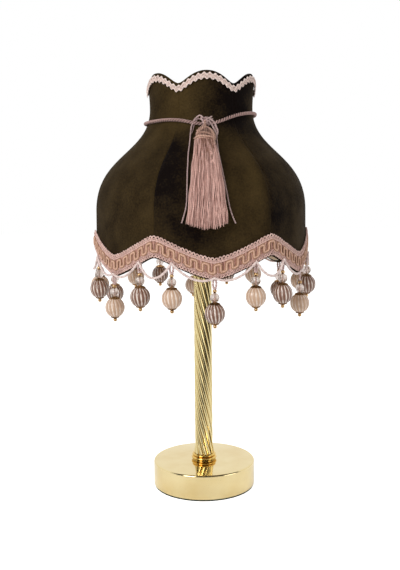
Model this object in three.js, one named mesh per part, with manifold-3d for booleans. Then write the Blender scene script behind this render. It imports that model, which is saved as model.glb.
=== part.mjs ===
// Table lamp: polished drum base, rope-twist stem and a six-panel velvet shade
// with a scalloped hem, woven braid, a tassel and a row of bead drops.
// Millimetres, +Z up. The origin is the centre of the felt underside, and the front is -Y.
// Angles go round the Z axis from the front, and turn towards +X.
import * as THREE from "three";
import { mergeVertices } from "three/addons/utils/BufferGeometryUtils.js";
import Module from "manifold-3d";

const wasm = await Module();
wasm.setup();

// Gaps between pieces
const SEAT_GAP = 0.3; // between pieces that touch
const RUNNING_GAP = 0.6; // round a piece that turns
const LINING_GAP = 1.2; // between the frame wires and the lining

// Base
const BASE_DIAMETER = 148;
const DRUM_HEIGHT = 35.2;
const DRUM_WALL = 1.5;
const DRUM_EDGE_RADIUS = 3;
const FELT_THICKNESS = 1.5;
const FELT_MARGIN = 1;
const COVER_THICKNESS = 1.5;
const WEIGHT_SIDE_GAP = 6.5; // room beside the weight for the bush of the lead
const WEIGHT_THICKNESS = 13;
const WEIGHT_HUB_DIAMETER = 46;
const NUT_RECESS_DIAMETER = 32;
const NUT_RECESS_DEPTH = 8;
const COVER_SCREWS = 3;
const SCREW_CIRCLE_DIAMETER = 96;
const SCREW_DIAMETER = 4.4;
const SCREW_LENGTH = 9;
const SCREW_HEAD_DIAMETER = 8.4;
const GLAND_DIAMETER = 11;
const GLAND_FLANGE_DIAMETER = 14.5;
const GLAND_FLANGE_THICKNESS = 2;
const GLAND_LENGTH = 7;
const GLAND_BORE = 6.6;
const GLAND_HEIGHT = 12;

// Threaded rod that ties the lamp together
const ROD_DIAMETER = 10;
const ROD_BORE = 6;
const ROD_NUT_WIDTH = 17;
const ROD_NUT_HEIGHT = 4;
const WASHER_DIAMETER = 22;
const WASHER_THICKNESS = 1.6;

// Collar and stem
const COLLAR_HEIGHT = 9.3;
const COLLAR_DIAMETER = 37;
const COLLAR_LIP_DIAMETER = 30;
const COLLAR_FOOT_DIAMETER = 33;
const STEM_LENGTH = 294;
const STEM_DIAMETER = 26;
const STEM_FLUTES = 12;
const FLUTE_DEPTH = 2.2;
const TWIST_PITCH = 280;
const STEM_BORE = 16;
const STEM_FOOT_FLARE = 1.5;
const STEM_FOOT_HEIGHT = 14;
const STEM_CAP_HEIGHT = 8;
const STEM_CAP_DIAMETER = 24;

// Lampholder and bulb
const HOLDER_CAP_HEIGHT = 20;
const HOLDER_DIAMETER = 38;
const HOLDER_WALL = 1.6;
const HOLDER_LENGTH = 38;
const SHOULDER_HEIGHT = 14;
const SHOULDER_THICKNESS = 2;
const SHOULDER_DIAMETER = 44;
const INSERT_HEIGHT = 10;
const INSERT_FLOOR = 6;
const INSERT_LENGTH = 26;
const INSERT_WALL = 2;
const CONTACT_SLEEVE_WALL = 0.8;
const CENTRE_CONTACT_DIAMETER = 8;
const CENTRE_CONTACT_HEIGHT = 1.6;
const SWITCH_BAR_LENGTH = 60;
const SWITCH_BAR_WIDTH = 4;
const SWITCH_BAR_HEIGHT = 4;
const SWITCH_TRAVEL = 6;
const SLEEVE_RECESS = 2; // from the insert's mouth down to the screw sleeve
const RING_NUT_HEIGHT = 8;
const RING_NUT_DIAMETER = 54;
const RING_NUT_FLANGE = 2.5;
const RING_NUT_WALL = 3.5;
const BULB_CAP_DIAMETER = 26;
const BULB_CAP_LENGTH = 25;
const BULB_CAP_FOOT = 6;
const BULB_CAP_CHAMFER = 1;
const BULB_DIAMETER = 60;
const BULB_LENGTH = 80;
const GLASS_THICKNESS = 1;

// Shade outline, with heights from the lowest point of the hem
const SHADE_HEM_DROP = 65; // from the fitter ring down to the hem
const SHADE_PANELS = 6;
const SHADE_HEIGHT = 269;
const BELLY_RADIUS = 150;
const RIM_FLARE = 1; // how far the hem stands out past the belly
const BELLY_HEIGHT = 83;
const SHOULDER_HANDLE = 75; // how far the belly's roundness reaches up
const NECK_RADIUS = 71.8;
const NECK_HEIGHT = 225;
const NECK_HANDLE = 66; // how far the neck's hollow reaches down
const TOP_RADIUS = 74;
const PANEL_FLATNESS = 0.37; // 0 is round between the ribs, and 1 is flat
const HEM_SCALLOP = 30;
const HEM_SHARPNESS = 1.35;
const TOP_SCALLOP = 19;
const TOP_SHARPNESS = 2;

// Shade layers, from the outside in
const BRAID_THICKNESS = 2;
const TRIM_GAP = 0.5; // between the velvet and the braids on it
const VELVET_THICKNESS = 1.2;
const WIRE_DIAMETER = 3;
const LINING_THICKNESS = 0.8;
const LINING_HEM_INSET = 4;
const LINING_NECK_INSET = 7;
const WIRE_EDGE_INSET = 5;
const FITTER_THICKNESS = 1.5;
const FITTER_DIAMETER = 64;
const SPIDER_ARMS = 3;
const ARM_DIAMETER = 3;

// Trimmings
const BRAID_WIDTH = 26;
const HEM_SHOWING = 2; // velvet below the braid
const GIMP_WIDTH = 8.5;
const LIP_SHOWING = 3; // velvet above the gimp
const NECK_CORD_DIAMETER = 4.7;
const NECK_CORD_HEIGHT = 210;
const NECK_CORD_RISE = 5;
const NECK_CORD_GAP = 0.8;
const SWAG_CORD_DIAMETER = 2;
const SWAG_DIP = 7;
const CUSP_SWAG_DIP = 18;

// Tassel
const TASSEL_ANGLE = -3.5;
const KNOT_WIDTH = 13;
const KNOT_HEIGHT = 11;
const KNOT_DEPTH = 9;
const STALK_DIAMETER = 3;
const STALK_LENGTH = 14; // from the neck cord down to the head
const HEAD_LENGTH = 17;
const HEAD_WIDTH = 24.6;
const HEAD_DEPTH = 18;
const SKIRT_LENGTH = 111;
const SKIRT_TOP_WIDTH = 25;
const SKIRT_BOTTOM_WIDTH = 50;
const SKIRT_DEPTH = 15;
const TAIL_DIAMETER = 1.8;

// Bead drops
const DROPS_PER_PANEL = 3;
const DROP_SPREAD = 21.3; // degrees from the middle drop of a panel to its side drops
const DROP_EYE_RADIUS = 1.6;
const DROP_LOOP_LENGTH = 11;
const DROP_LOOP_WIDTH = 5.6;
const DROP_BALL_DIAMETER = 5;
const DROP_GLASS_DIAMETER = 11;
const DROP_BEAD_DIAMETER = 24.5;
const DROP_BEAD_LENGTH = 25.5;
const DROP_TIP_DIAMETER = 4;
const DROP_THREAD_DIAMETER = 1.6;

// Steps of the faceted surfaces
const PANEL_COLUMNS = 6;
const PANEL_ROWS = 12;
const LINING_ROWS = 9;
const ROUND_STEPS = 24;
const DRUM_STEPS = 40;
const BULB_STEPS = 20;
const DROP_STEPS = 8;
const WIRE_SIDES = 4;

// Heights above the ground, from the bottom up
const drumBottom = FELT_THICKNESS + SEAT_GAP;
const drumTop = drumBottom + DRUM_HEIGHT;
const coverTop = drumBottom + COVER_THICKNESS;
const weightBottom = coverTop + SEAT_GAP;
const recessTop = weightBottom + NUT_RECESS_DEPTH;
const washerBottom = recessTop - SEAT_GAP - WASHER_THICKNESS;
const nutBottom = washerBottom - SEAT_GAP - ROD_NUT_HEIGHT;
const collarBottom = drumTop + SEAT_GAP;
const stemBottom = collarBottom + COLLAR_HEIGHT + SEAT_GAP;
const stemCapBottom = stemBottom + STEM_LENGTH + SEAT_GAP;
const holderCapBottom = stemCapBottom + STEM_CAP_HEIGHT + SEAT_GAP;
const holderBottom = holderCapBottom + HOLDER_CAP_HEIGHT + SEAT_GAP;
const fitterBottom = holderBottom + SHOULDER_HEIGHT + SEAT_GAP;
const ringNutBottom = fitterBottom + FITTER_THICKNESS + SEAT_GAP;
const insertBottom = holderBottom + INSERT_HEIGHT;
const insertFloorTop = insertBottom + INSERT_FLOOR;
const bulbBottom = insertFloorTop + SEAT_GAP + CENTRE_CONTACT_HEIGHT + SEAT_GAP;
const hemLow = fitterBottom - SHADE_HEM_DROP;
const bellyLevel = hemLow + BELLY_HEIGHT;
const neckLevel = hemLow + NECK_HEIGHT;
const topLevel = hemLow + SHADE_HEIGHT;
const rodHole = ROD_DIAMETER / 2 + SEAT_GAP;

// Depths measured outwards from the velvet's outer face
const velvetBack = -VELVET_THICKNESS;
const wireRadius = WIRE_DIAMETER / 2;
const wireCentre = velvetBack - SEAT_GAP - wireRadius;
const liningFront = wireCentre - wireRadius - LINING_GAP;
const liningBack = liningFront - LINING_THICKNESS;
const braidBack = TRIM_GAP;
const braidFront = braidBack + BRAID_THICKNESS;

const radians = THREE.MathUtils.degToRad;
const mix = THREE.MathUtils.lerp;
const panelAngle = radians(360 / SHADE_PANELS);

// Finishes
const finish = (color, roughness, metalness = 0) => ({ color, roughness, metalness });
const polishedBrass = finish(0xe8d6a0, 0.12, 1);
const plainBrass = finish(0xc8a860, 0.3, 1);
const steel = finish(0xb8b8b8, 0.35, 1);
const castIron = finish(0x3c3c3e, 0.7, 0.6);
const feltGreen = finish(0x2e3a30, 0.95);
const blackPlastic = finish(0x1c1c1c, 0.5);
const porcelain = finish(0xf0ece2, 0.3);
const opalGlass = finish(0xf6f2ea, 0.25);
const velvet = finish(0x322a19, 0.9);
const liningCloth = finish(0xd9c6b0, 0.8);
const whiteEnamel = finish(0xdedad2, 0.4, 0.3);
const pinkBraid = finish(0xcda596, 0.8);
const mauveGimp = finish(0xb89a90, 0.8);
const tasselSilk = finish(0xc3968a, 0.6);
const creamBead = finish(0xc8aa8c, 0.3);
const taupeBead = finish(0x785f55, 0.3);

const lamp = new THREE.Group();

// Add a named mesh to the lamp, or to a group of it
function add(name, geometry, look, parent = lamp) {
  const mesh = new THREE.Mesh(geometry, new THREE.MeshStandardMaterial(look));
  mesh.name = name;
  parent.add(mesh);
  return mesh;
}

// The point at a radius and a height, at an angle in radians from the front
function around(radius, angle, z) {
  return new THREE.Vector3(radius * Math.sin(angle), -radius * Math.cos(angle), z);
}

// A solid turned round the Z axis from [radius, height] pairs
function turned(profile, steps = ROUND_STEPS) {
  const points = profile.map(([radius, z]) => new THREE.Vector2(radius, z));
  return new THREE.LatheGeometry(points, steps).rotateX(Math.PI / 2);
}

// A turned tube between two heights
function turnedTube(inner, outer, bottom, top, steps = ROUND_STEPS) {
  return turned([[inner, bottom], [outer, bottom], [outer, top], [inner, top], [inner, bottom]], steps);
}

// A turned solid disc, or a cone where its two radii differ
function turnedDisc(lower, upper, bottom, top, steps = ROUND_STEPS) {
  return turned([[0, bottom], [lower, bottom], [upper, top], [0, top]], steps);
}

// One body with its faces turned outwards, from points and triangles
function closedBody(points, faces) {
  const corner = faces.map((index) => points[index]);
  let volume = 0;
  for (let i = 0; i < corner.length; i += 3) {
    volume += corner[i].dot(corner[i + 1].clone().cross(corner[i + 2]));
  }
  const order = volume < 0 ? corner.reverse() : corner;
  return new THREE.BufferGeometry().setFromPoints(order);
}

// Body through rings of equal count. Its ends meet ("loop"), are closed by a fan from
// their middle ("fan"), or are closed across two facing rows of points ("ladder").
function loft(rings, ends) {
  const count = rings[0].length;
  const points = rings.flat();
  const faces = [];
  const quad = (a, b, c, d) => faces.push(a, b, c, a, c, d);
  const spans = ends === "loop" ? rings.length : rings.length - 1;
  for (let i = 0; i < spans; i++) {
    const here = i * count;
    const next = ((i + 1) % rings.length) * count;
    for (let j = 0; j < count; j++) {
      const side = (j + 1) % count;
      quad(here + j, here + side, next + side, next + j);
    }
  }
  if (ends === "ladder") {
    const last = (rings.length - 1) * count;
    for (let j = 0; j < count / 2 - 1; j++) {
      const facing = count - 1 - j;
      quad(j, facing, facing - 1, j + 1);
      quad(last + j, last + j + 1, last + facing - 1, last + facing);
    }
  }
  if (ends === "fan") {
    const last = (rings.length - 1) * count;
    const foot = points.push(middle(rings[0])) - 1;
    const head = points.push(middle(rings[rings.length - 1])) - 1;
    for (let j = 0; j < count; j++) {
      const side = (j + 1) % count;
      faces.push(foot, side, j, head, last + j, last + side);
    }
  }
  return closedBody(points, faces);
}

// The mean of some points
function middle(points) {
  const sum = points.reduce((total, point) => total.add(point), new THREE.Vector3());
  return sum.divideScalar(points.length);
}

// Round bar of a few sides along points, with the sections turned to the Z axis
function bar(points, radius, sides, closed) {
  const last = points.length - 1;
  const rings = points.map((point, i) => {
    const before = points[i > 0 ? i - 1 : closed ? last : 0];
    const after = points[i < last ? i + 1 : closed ? 0 : last];
    const along = after.clone().sub(before).normalize();
    const outwards = new THREE.Vector3(point.x, point.y, 0);
    const across = outwards.cross(along).normalize();
    const up = along.clone().cross(across);
    return Array.from({ length: sides }, (_, k) => {
      const turn = (2 * Math.PI * k) / sides;
      return point
        .clone()
        .addScaledVector(across, radius * Math.cos(turn))
        .addScaledVector(up, radius * Math.sin(turn));
    });
  });
  return loft(rings, closed ? "loop" : "fan");
}

// A geometry as a solid that can be cut and joined
function solid(geometry) {
  const bare = new THREE.BufferGeometry();
  bare.setAttribute("position", geometry.getAttribute("position"));
  if (geometry.index) bare.setIndex(geometry.index);
  const merged = mergeVertices(bare, 1e-3);
  const vertProperties = merged.getAttribute("position").array;
  return new wasm.Manifold(
    new wasm.Mesh({ numProp: 3, vertProperties, triVerts: new Uint32Array(merged.index.array) }),
  );
}

// The geometry of a cut or joined solid
function geometryOf(made) {
  const mesh = made.getMesh();
  return new THREE.BufferGeometry()
    .setAttribute("position", new THREE.BufferAttribute(mesh.vertProperties, 3))
    .setIndex(new THREE.BufferAttribute(mesh.triVerts, 1));
}

const cut = (body, ...tools) =>
  geometryOf(tools.reduce((left, tool) => left.subtract(solid(tool)), solid(body)));
const join = (body, ...others) =>
  geometryOf(others.reduce((sum, other) => sum.add(solid(other)), solid(body)));

// Radius of the shade's outline over a rib, at a height
function outlineRadius(z) {
  if (z <= bellyLevel) {
    return mix(BELLY_RADIUS + RIM_FLARE, BELLY_RADIUS, THREE.MathUtils.clamp((z - hemLow) / BELLY_HEIGHT, 0, 1));
  }
  if (z >= neckLevel) {
    return mix(NECK_RADIUS, TOP_RADIUS, THREE.MathUtils.smoothstep(z, neckLevel, topLevel));
  }
  const [low, high] = [bellyLevel, neckLevel];
  const heights = [low, low + SHOULDER_HANDLE, high - NECK_HANDLE, high];
  const radii = [BELLY_RADIUS, BELLY_RADIUS, NECK_RADIUS, NECK_RADIUS];
  let [from, to] = [0, 1];
  while (to - from > 1e-6) {
    const half = (from + to) / 2;
    if (bezier(heights, half) < z) from = half;
    else to = half;
  }
  return bezier(radii, from);
}

// Value of a cubic Bezier at t
function bezier([a, b, c, d], t) {
  const s = 1 - t;
  return s * s * s * a + 3 * s * s * t * b + 3 * s * t * t * c + t * t * t * d;
}

// Angle from the middle of the nearest panel, in radians
function fromPanelMiddle(angle) {
  return angle - Math.round(angle / panelAngle) * panelAngle;
}

// Radius of the shade at an angle and a height: flatter between the ribs at the belly
function shadeRadius(angle, z) {
  const flat = Math.cos(panelAngle / 2) / Math.cos(fromPanelMiddle(angle));
  const share = PANEL_FLATNESS * (1 - THREE.MathUtils.smoothstep(z, bellyLevel, neckLevel));
  return outlineRadius(z) * (1 - share * (1 - flat));
}

// Point at a distance outside the velvet, measured square to it
function shadePoint(angle, z, outside = 0) {
  const [turn, rise] = [0.002, 0.5];
  const at = (a, h) => around(shadeRadius(a, h), a, h);
  const round = at(angle + turn, z).sub(at(angle - turn, z));
  const up = at(angle, z + rise).sub(at(angle, z - rise));
  return at(angle, z).addScaledVector(round.cross(up).normalize(), outside);
}

// Share of the way from a panel's middle to its rib, 0 to 1
const ribShare = (angle) => Math.abs(fromPanelMiddle(angle)) / (panelAngle / 2);
// Height of the velvet's lower and upper edges
const hemAt = (angle) => hemLow + HEM_SCALLOP * ribShare(angle) ** HEM_SHARPNESS;
const topAt = (angle) => topLevel - TOP_SCALLOP * ribShare(angle) ** TOP_SHARPNESS;
const braidFootAt = (angle) => hemAt(angle) + HEM_SHOWING;

// Share of the panel's height at a row: rows stand closer together under the neck
function rowShare(row) {
  const share = row / PANEL_ROWS;
  const [crowding, shift] = [0.06, 0.15];
  const wave = (part) => Math.sin(2 * Math.PI * part);
  return share + crowding * (wave(share - shift) + wave(shift));
}

// Angles all round, in step with the panels' columns
const shadeStations = Array.from(
  { length: SHADE_PANELS * PANEL_COLUMNS },
  (_, i) => (i * panelAngle) / PANEL_COLUMNS,
);

// Section through a layer of cloth at an angle: up its front and down its back
function clothSection(angle, heights, front, back) {
  const outer = heights.map((z) => shadePoint(angle, z, front));
  const inner = heights.map((z) => shadePoint(angle, z, back));
  return [...outer, ...inner.reverse()];
}

// Angle that keeps a point half a seam away from the rib beside it
function seamAngle(angle, z, column) {
  const half = SEAT_GAP / 2 / shadeRadius(angle, z);
  return column === 0 ? angle + half : column === PANEL_COLUMNS ? angle - half : angle;
}

function velvetPanel(index) {
  const rings = Array.from({ length: PANEL_COLUMNS + 1 }, (_, column) => {
    const angle = (index + column / PANEL_COLUMNS - 0.5) * panelAngle;
    const place = (row, outside) => {
      const z = mix(hemAt(angle), topAt(angle), rowShare(row));
      return shadePoint(seamAngle(angle, z, column), z, outside);
    };
    const rows = Array.from({ length: PANEL_ROWS + 1 }, (_, row) => row);
    return [...rows.map((row) => place(row, 0)), ...rows.reverse().map((row) => place(row, velvetBack))];
  });
  return loft(rings, "ladder");
}

function shadeLining() {
  const top = neckLevel - LINING_NECK_INSET;
  const rows = Array.from({ length: LINING_ROWS + 1 }, (_, row) => row / LINING_ROWS);
  const rings = shadeStations.map((angle) => {
    const heights = rows.map((share) => mix(hemAt(angle) + LINING_HEM_INSET, top, share));
    return clothSection(angle, heights, liningFront, liningBack);
  });
  return loft(rings, "loop");
}

// Flat trimming sewn round the shade between two heights given for each angle
function trimming(lowAt, highAt) {
  const rings = shadeStations.map((angle) =>
    clothSection(angle, [lowAt(angle), highAt(angle)], braidFront, braidBack),
  );
  return loft(rings, "loop");
}

// Wire ring round the shade at a height given for each angle
function wireRing(heightAt) {
  const points = shadeStations.map((angle) => shadePoint(angle, heightAt(angle), wireCentre));
  return bar(points, wireRadius, WIRE_SIDES, true);
}

const bottomWireAt = (angle) => hemAt(angle) + WIRE_EDGE_INSET;
const topWireAt = (angle) => topAt(angle) - WIRE_EDGE_INSET;

// Wire rib along a seam, from the bottom ring to the top ring
function wireRib(angle) {
  const points = Array.from({ length: PANEL_ROWS + 1 }, (_, row) => {
    const z = mix(hemAt(angle), topAt(angle), rowShare(row));
    const height = THREE.MathUtils.clamp(z, bottomWireAt(angle), topWireAt(angle));
    return shadePoint(angle, height, wireCentre);
  });
  return bar(points, wireRadius, WIRE_SIDES, false);
}

function wireFrame() {
  const ribs = Array.from({ length: SHADE_PANELS }, (_, i) => wireRib((i + 0.5) * panelAngle));
  return join(wireRing(bottomWireAt), wireRing(() => neckLevel), wireRing(topWireAt), ...ribs);
}

// Ring that sits on the lampholder, with arms up to the neck wire of the shade
function fitterSpider() {
  const hole = HOLDER_DIAMETER / 2 + RUNNING_GAP;
  const ring = turnedTube(hole, FITTER_DIAMETER / 2, fitterBottom, fitterBottom + FITTER_THICKNESS);
  const armRadius = ARM_DIAMETER / 2;
  const arms = Array.from({ length: SPIDER_ARMS }, (_, i) => {
    const angle = (i + 0.25) * radians(360 / SPIDER_ARMS);
    const neck = neckLevel - wireRadius;
    const wireInside = shadeRadius(angle, neckLevel) + wireCentre - wireRadius;
    const points = [
      around(FITTER_DIAMETER / 2 - armRadius, angle, fitterBottom + FITTER_THICKNESS / 2),
      around(wireInside - SEAT_GAP - armRadius, angle, neck),
      around(wireInside - SEAT_GAP - armRadius, angle, neckLevel + wireRadius),
    ];
    return bar(points, armRadius, WIRE_SIDES, false);
  });
  return join(ring, ...arms);
}

function neckCordPoint(angle) {
  const z = hemLow + NECK_CORD_HEIGHT + NECK_CORD_RISE * Math.sin(angle);
  return shadePoint(angle, z, NECK_CORD_GAP + NECK_CORD_DIAMETER / 2);
}

function neckCord() {
  return bar(shadeStations.map(neckCordPoint), NECK_CORD_DIAMETER / 2, 6, true);
}

// Angles of the drops round the shade, panel by panel
const dropAngles = Array.from({ length: SHADE_PANELS * DROPS_PER_PANEL }, (_, i) => {
  const place = (i % DROPS_PER_PANEL) - (DROPS_PER_PANEL - 1) / 2;
  return Math.floor(i / DROPS_PER_PANEL) * panelAngle + radians(place * DROP_SPREAD);
});

// Point that a drop swings about: just under the braid and in front of the hem
function dropEye(angle) {
  const z = braidFootAt(angle) - SEAT_GAP - DROP_EYE_RADIUS;
  return shadePoint(angle, z, SEAT_GAP + DROP_EYE_RADIUS);
}

// Thin cord that goes over every drop and hangs in a dip between each two of them
function swagCord() {
  const steps = 4;
  const outside = braidFront + SEAT_GAP + SWAG_CORD_DIAMETER / 2;
  const points = dropAngles.flatMap((angle, i) => {
    const last = i === dropAngles.length - 1;
    const next = last ? dropAngles[0] + 2 * Math.PI : dropAngles[i + 1];
    const overSeam = i % DROPS_PER_PANEL === DROPS_PER_PANEL - 1;
    const dip = overSeam ? CUSP_SWAG_DIP : SWAG_DIP;
    return Array.from({ length: steps }, (_, k) => {
      const t = k / steps;
      const turn = mix(angle, next, t);
      const tied = mix(braidFootAt(angle), braidFootAt(next), t) + SWAG_CORD_DIAMETER / 2;
      return shadePoint(turn, tied - dip * 4 * t * (1 - t), outside);
    });
  });
  return bar(points, SWAG_CORD_DIAMETER / 2, WIRE_SIDES, true);
}

const tasselAngle = radians(TASSEL_ANGLE);

// Body of threads that lies against the velvet. Each row has a height above the hem,
// a width, a depth and the gap that it keeps to the velvet.
function drapedBody(rows, sides = 10) {
  const rings = rows.map(([height, width, depth, gap]) => {
    const z = hemLow + height;
    const radius = shadeRadius(tasselAngle, z);
    return Array.from({ length: sides }, (_, k) => {
      const turn = (2 * Math.PI * k) / sides;
      const sideways = (width / 2) * Math.cos(turn);
      const outside = gap + (depth / 2) * (1 + Math.sin(turn));
      return shadePoint(tasselAngle + sideways / radius, z, outside);
    });
  });
  return loft(rings, "fan");
}

const headTop = NECK_CORD_HEIGHT - STALK_LENGTH;
const headBottom = headTop - HEAD_LENGTH;
const knotCentreHeight = NECK_CORD_HEIGHT + NECK_CORD_RISE * Math.sin(tasselAngle);
const knotOutside = SEAT_GAP + KNOT_DEPTH / 2;
const stalkTop = knotCentreHeight - KNOT_HEIGHT / 2 - SEAT_GAP;

// Knot tied round the neck cord, with the cord's passage through it
function tasselKnot() {
  const centre = shadePoint(tasselAngle, hemLow + knotCentreHeight, knotOutside);
  const ball = new THREE.SphereGeometry(1, 12, 8)
    .scale(KNOT_WIDTH / 2, KNOT_DEPTH / 2, KNOT_HEIGHT / 2)
    .rotateZ(tasselAngle)
    .translate(centre.x, centre.y, centre.z);
  const reach = radians(14);
  const passage = [-2, -1, 0, 1, 2].map((i) => neckCordPoint(tasselAngle + (i * reach) / 2));
  return cut(ball, bar(passage, NECK_CORD_DIAMETER / 2 + 2 * SEAT_GAP, 8, false));
}

// The tassel hangs from the top of its stalk
const tasselPivot = shadePoint(
  tasselAngle,
  hemLow + stalkTop - STALK_DIAMETER / 2,
  knotOutside,
);

function tasselHead() {
  const stalkGap = knotOutside - STALK_DIAMETER / 2;
  const bulge = mix(headTop, headBottom, 0.5);
  return drapedBody([
    [stalkTop, STALK_DIAMETER * 0.5, STALK_DIAMETER * 0.5, stalkGap + STALK_DIAMETER * 0.25],
    [stalkTop - STALK_DIAMETER / 2, STALK_DIAMETER, STALK_DIAMETER, stalkGap],
    [headTop, STALK_DIAMETER * 2, STALK_DIAMETER * 2, stalkGap - STALK_DIAMETER / 2],
    [mix(headTop, bulge, 0.4), HEAD_WIDTH * 0.85, HEAD_DEPTH * 0.8, 1],
    [bulge, HEAD_WIDTH, HEAD_DEPTH, 1],
    [mix(bulge, headBottom, 0.7), HEAD_WIDTH * 0.9, HEAD_DEPTH * 0.9, 1],
    [headBottom, HEAD_WIDTH * 0.8, HEAD_DEPTH * 0.8, 1],
  ]);
}

function tasselSkirt() {
  const top = headBottom - SEAT_GAP;
  const rows = 8;
  const list = Array.from({ length: rows + 1 }, (_, i) => {
    const share = i / rows;
    const width = mix(SKIRT_TOP_WIDTH, SKIRT_BOTTOM_WIDTH, share ** 0.9);
    return [mix(top, headBottom - SKIRT_LENGTH, share), width, SKIRT_DEPTH, 0.8];
  });
  return drapedBody([[top, HEAD_WIDTH * 0.8, HEAD_DEPTH * 0.8, 0.9], ...list.slice(1)], 12);
}

// Routes of the two cord tails beside the tassel: [mm to the side of it, mm above the hem]
const LEFT_TAIL = [
  [-6.3, 206], [-13, 202], [-16.5, 194], [-18, 184], [-19.5, 172], [-21.5, 160], [-22.5, 148],
  [-23.5, 136], [-24, 124], [-24.5, 112], [-25, 100], [-26.5, 90], [-29, 81], [-31.5, 73],
];
const RIGHT_TAIL = [
  [6.3, 206], [12.5, 202], [14.5, 194], [15.5, 184], [17, 172], [18.5, 160], [20.5, 148],
  [22.5, 136], [24, 124], [25.5, 112], [27, 100], [29, 90], [32, 81], [36, 72],
];

function tasselTail(route) {
  const points = route.map(([sideways, height], i) => {
    const z = hemLow + height;
    const outside = i === 0 ? knotOutside * 0.8 : 2 * SEAT_GAP + TAIL_DIAMETER / 2;
    return shadePoint(tasselAngle + sideways / shadeRadius(tasselAngle, z), z, outside);
  });
  return bar(points, TAIL_DIAMETER / 2, 8, false);
}

// Hanging drop about its eye: cord loop, ball, glass bead, fluted bead and tip on one thread
function beadDrop() {
  const thread = DROP_THREAD_DIAMETER / 2;
  const ballTop = -DROP_LOOP_LENGTH;
  const glassTop = ballTop - DROP_BALL_DIAMETER;
  const beadTop = glassTop - DROP_GLASS_DIAMETER - thread;
  const beadMiddle = beadTop - DROP_BEAD_LENGTH / 2;
  const beadBottom = beadTop - DROP_BEAD_LENGTH;
  const bead = DROP_BEAD_DIAMETER / 2;
  return turned(
    [
      [0, beadBottom - DROP_TIP_DIAMETER],
      [DROP_TIP_DIAMETER / 2, beadBottom - DROP_TIP_DIAMETER / 2],
      [bead * 0.45, beadMiddle - DROP_BEAD_LENGTH * 0.47],
      [bead, beadMiddle - DROP_BEAD_LENGTH * 0.16],
      [bead, beadMiddle + DROP_BEAD_LENGTH * 0.16],
      [bead * 0.45, beadMiddle + DROP_BEAD_LENGTH * 0.47],
      [thread, beadTop],
      [DROP_GLASS_DIAMETER / 2, glassTop - DROP_GLASS_DIAMETER / 2],
      [thread, glassTop],
      [DROP_BALL_DIAMETER / 2, ballTop - DROP_BALL_DIAMETER / 2],
      [thread, ballTop],
      [DROP_LOOP_WIDTH / 2, ballTop + DROP_LOOP_LENGTH * 0.4],
      [thread, -DROP_EYE_RADIUS * 1.2],
      [DROP_EYE_RADIUS, 0],
      [0, DROP_EYE_RADIUS],
    ],
    DROP_STEPS,
  );
}

function feltPad() {
  const radius = BASE_DIAMETER / 2 - FELT_MARGIN;
  return turnedDisc(radius, radius, 0, FELT_THICKNESS, DRUM_STEPS);
}

// Drum open at the bottom, with a rounded upper edge and holes for the rod and the gland
function baseShell() {
  const outer = BASE_DIAMETER / 2;
  const inner = outer - DRUM_WALL;
  const edge = DRUM_EDGE_RADIUS;
  const bevel = [0, 0.5, 1].map((share) => {
    const turn = (share * Math.PI) / 2;
    return [outer - edge * (1 - Math.cos(turn)), drumTop - edge * (1 - Math.sin(turn))];
  });
  const ceiling = drumTop - DRUM_WALL;
  const shell = turned(
    [
      [inner, drumBottom],
      [outer, drumBottom],
      ...bevel,
      [rodHole, drumTop],
      [rodHole, ceiling],
      [inner - edge, ceiling],
      [inner, ceiling - edge],
      [inner, drumBottom],
    ],
    DRUM_STEPS,
  );
  return cut(shell, acrossRear(GLAND_DIAMETER / 2 + SEAT_GAP, outer - 3 * DRUM_WALL, outer + DRUM_WALL));
}

// Cylinder along Y at the gland's height, between two distances from the axis
function acrossRear(radius, from, to) {
  return turnedDisc(radius, radius, from, to, 16)
    .rotateX(-Math.PI / 2)
    .translate(0, 0, GLAND_HEIGHT);
}

// Bush in the rear wall that the mains lead would pass through
function cableGland() {
  const wall = BASE_DIAMETER / 2;
  const flangeFoot = wall + SEAT_GAP;
  const tip = flangeFoot + GLAND_FLANGE_THICKNESS;
  const bore = GLAND_BORE / 2;
  return turned(
    [
      [bore, tip - GLAND_LENGTH],
      [GLAND_DIAMETER / 2, tip - GLAND_LENGTH],
      [GLAND_DIAMETER / 2, flangeFoot],
      [GLAND_FLANGE_DIAMETER / 2, flangeFoot],
      [GLAND_FLANGE_DIAMETER / 2 - 0.6, tip],
      [bore, tip],
      [bore, tip - GLAND_LENGTH],
    ],
    16,
  )
    .rotateX(-Math.PI / 2)
    .translate(0, 0, GLAND_HEIGHT);
}

// Places of the screws that hold the cover plate to the weight
const screwAngles = Array.from({ length: COVER_SCREWS }, (_, i) => (i * 2 * Math.PI) / COVER_SCREWS);
const screwHeadHeight = COVER_THICKNESS - SEAT_GAP;

// Countersunk screw, or with a gap the hole for it
function coverScrew(angle, gap = 0) {
  const place = around(SCREW_CIRCLE_DIAMETER / 2, angle, drumBottom);
  const shank = SCREW_DIAMETER / 2 + gap;
  const cone = (SCREW_HEAD_DIAMETER - SCREW_DIAMETER) / 2;
  const mouth = shank + (cone * (screwHeadHeight + gap)) / screwHeadHeight;
  return turned(
    [
      [0, -gap],
      [mouth, -gap],
      [shank, screwHeadHeight],
      [shank, SCREW_LENGTH + gap],
      [0, SCREW_LENGTH + gap],
    ],
    12,
  ).translate(place.x, place.y, place.z);
}

function coverPlate() {
  const radius = BASE_DIAMETER / 2 - DRUM_WALL - SEAT_GAP;
  const plate = turnedDisc(radius, radius, drumBottom, coverTop, DRUM_STEPS);
  return cut(plate, ...screwAngles.map((angle) => coverScrew(angle, SEAT_GAP)));
}

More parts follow.
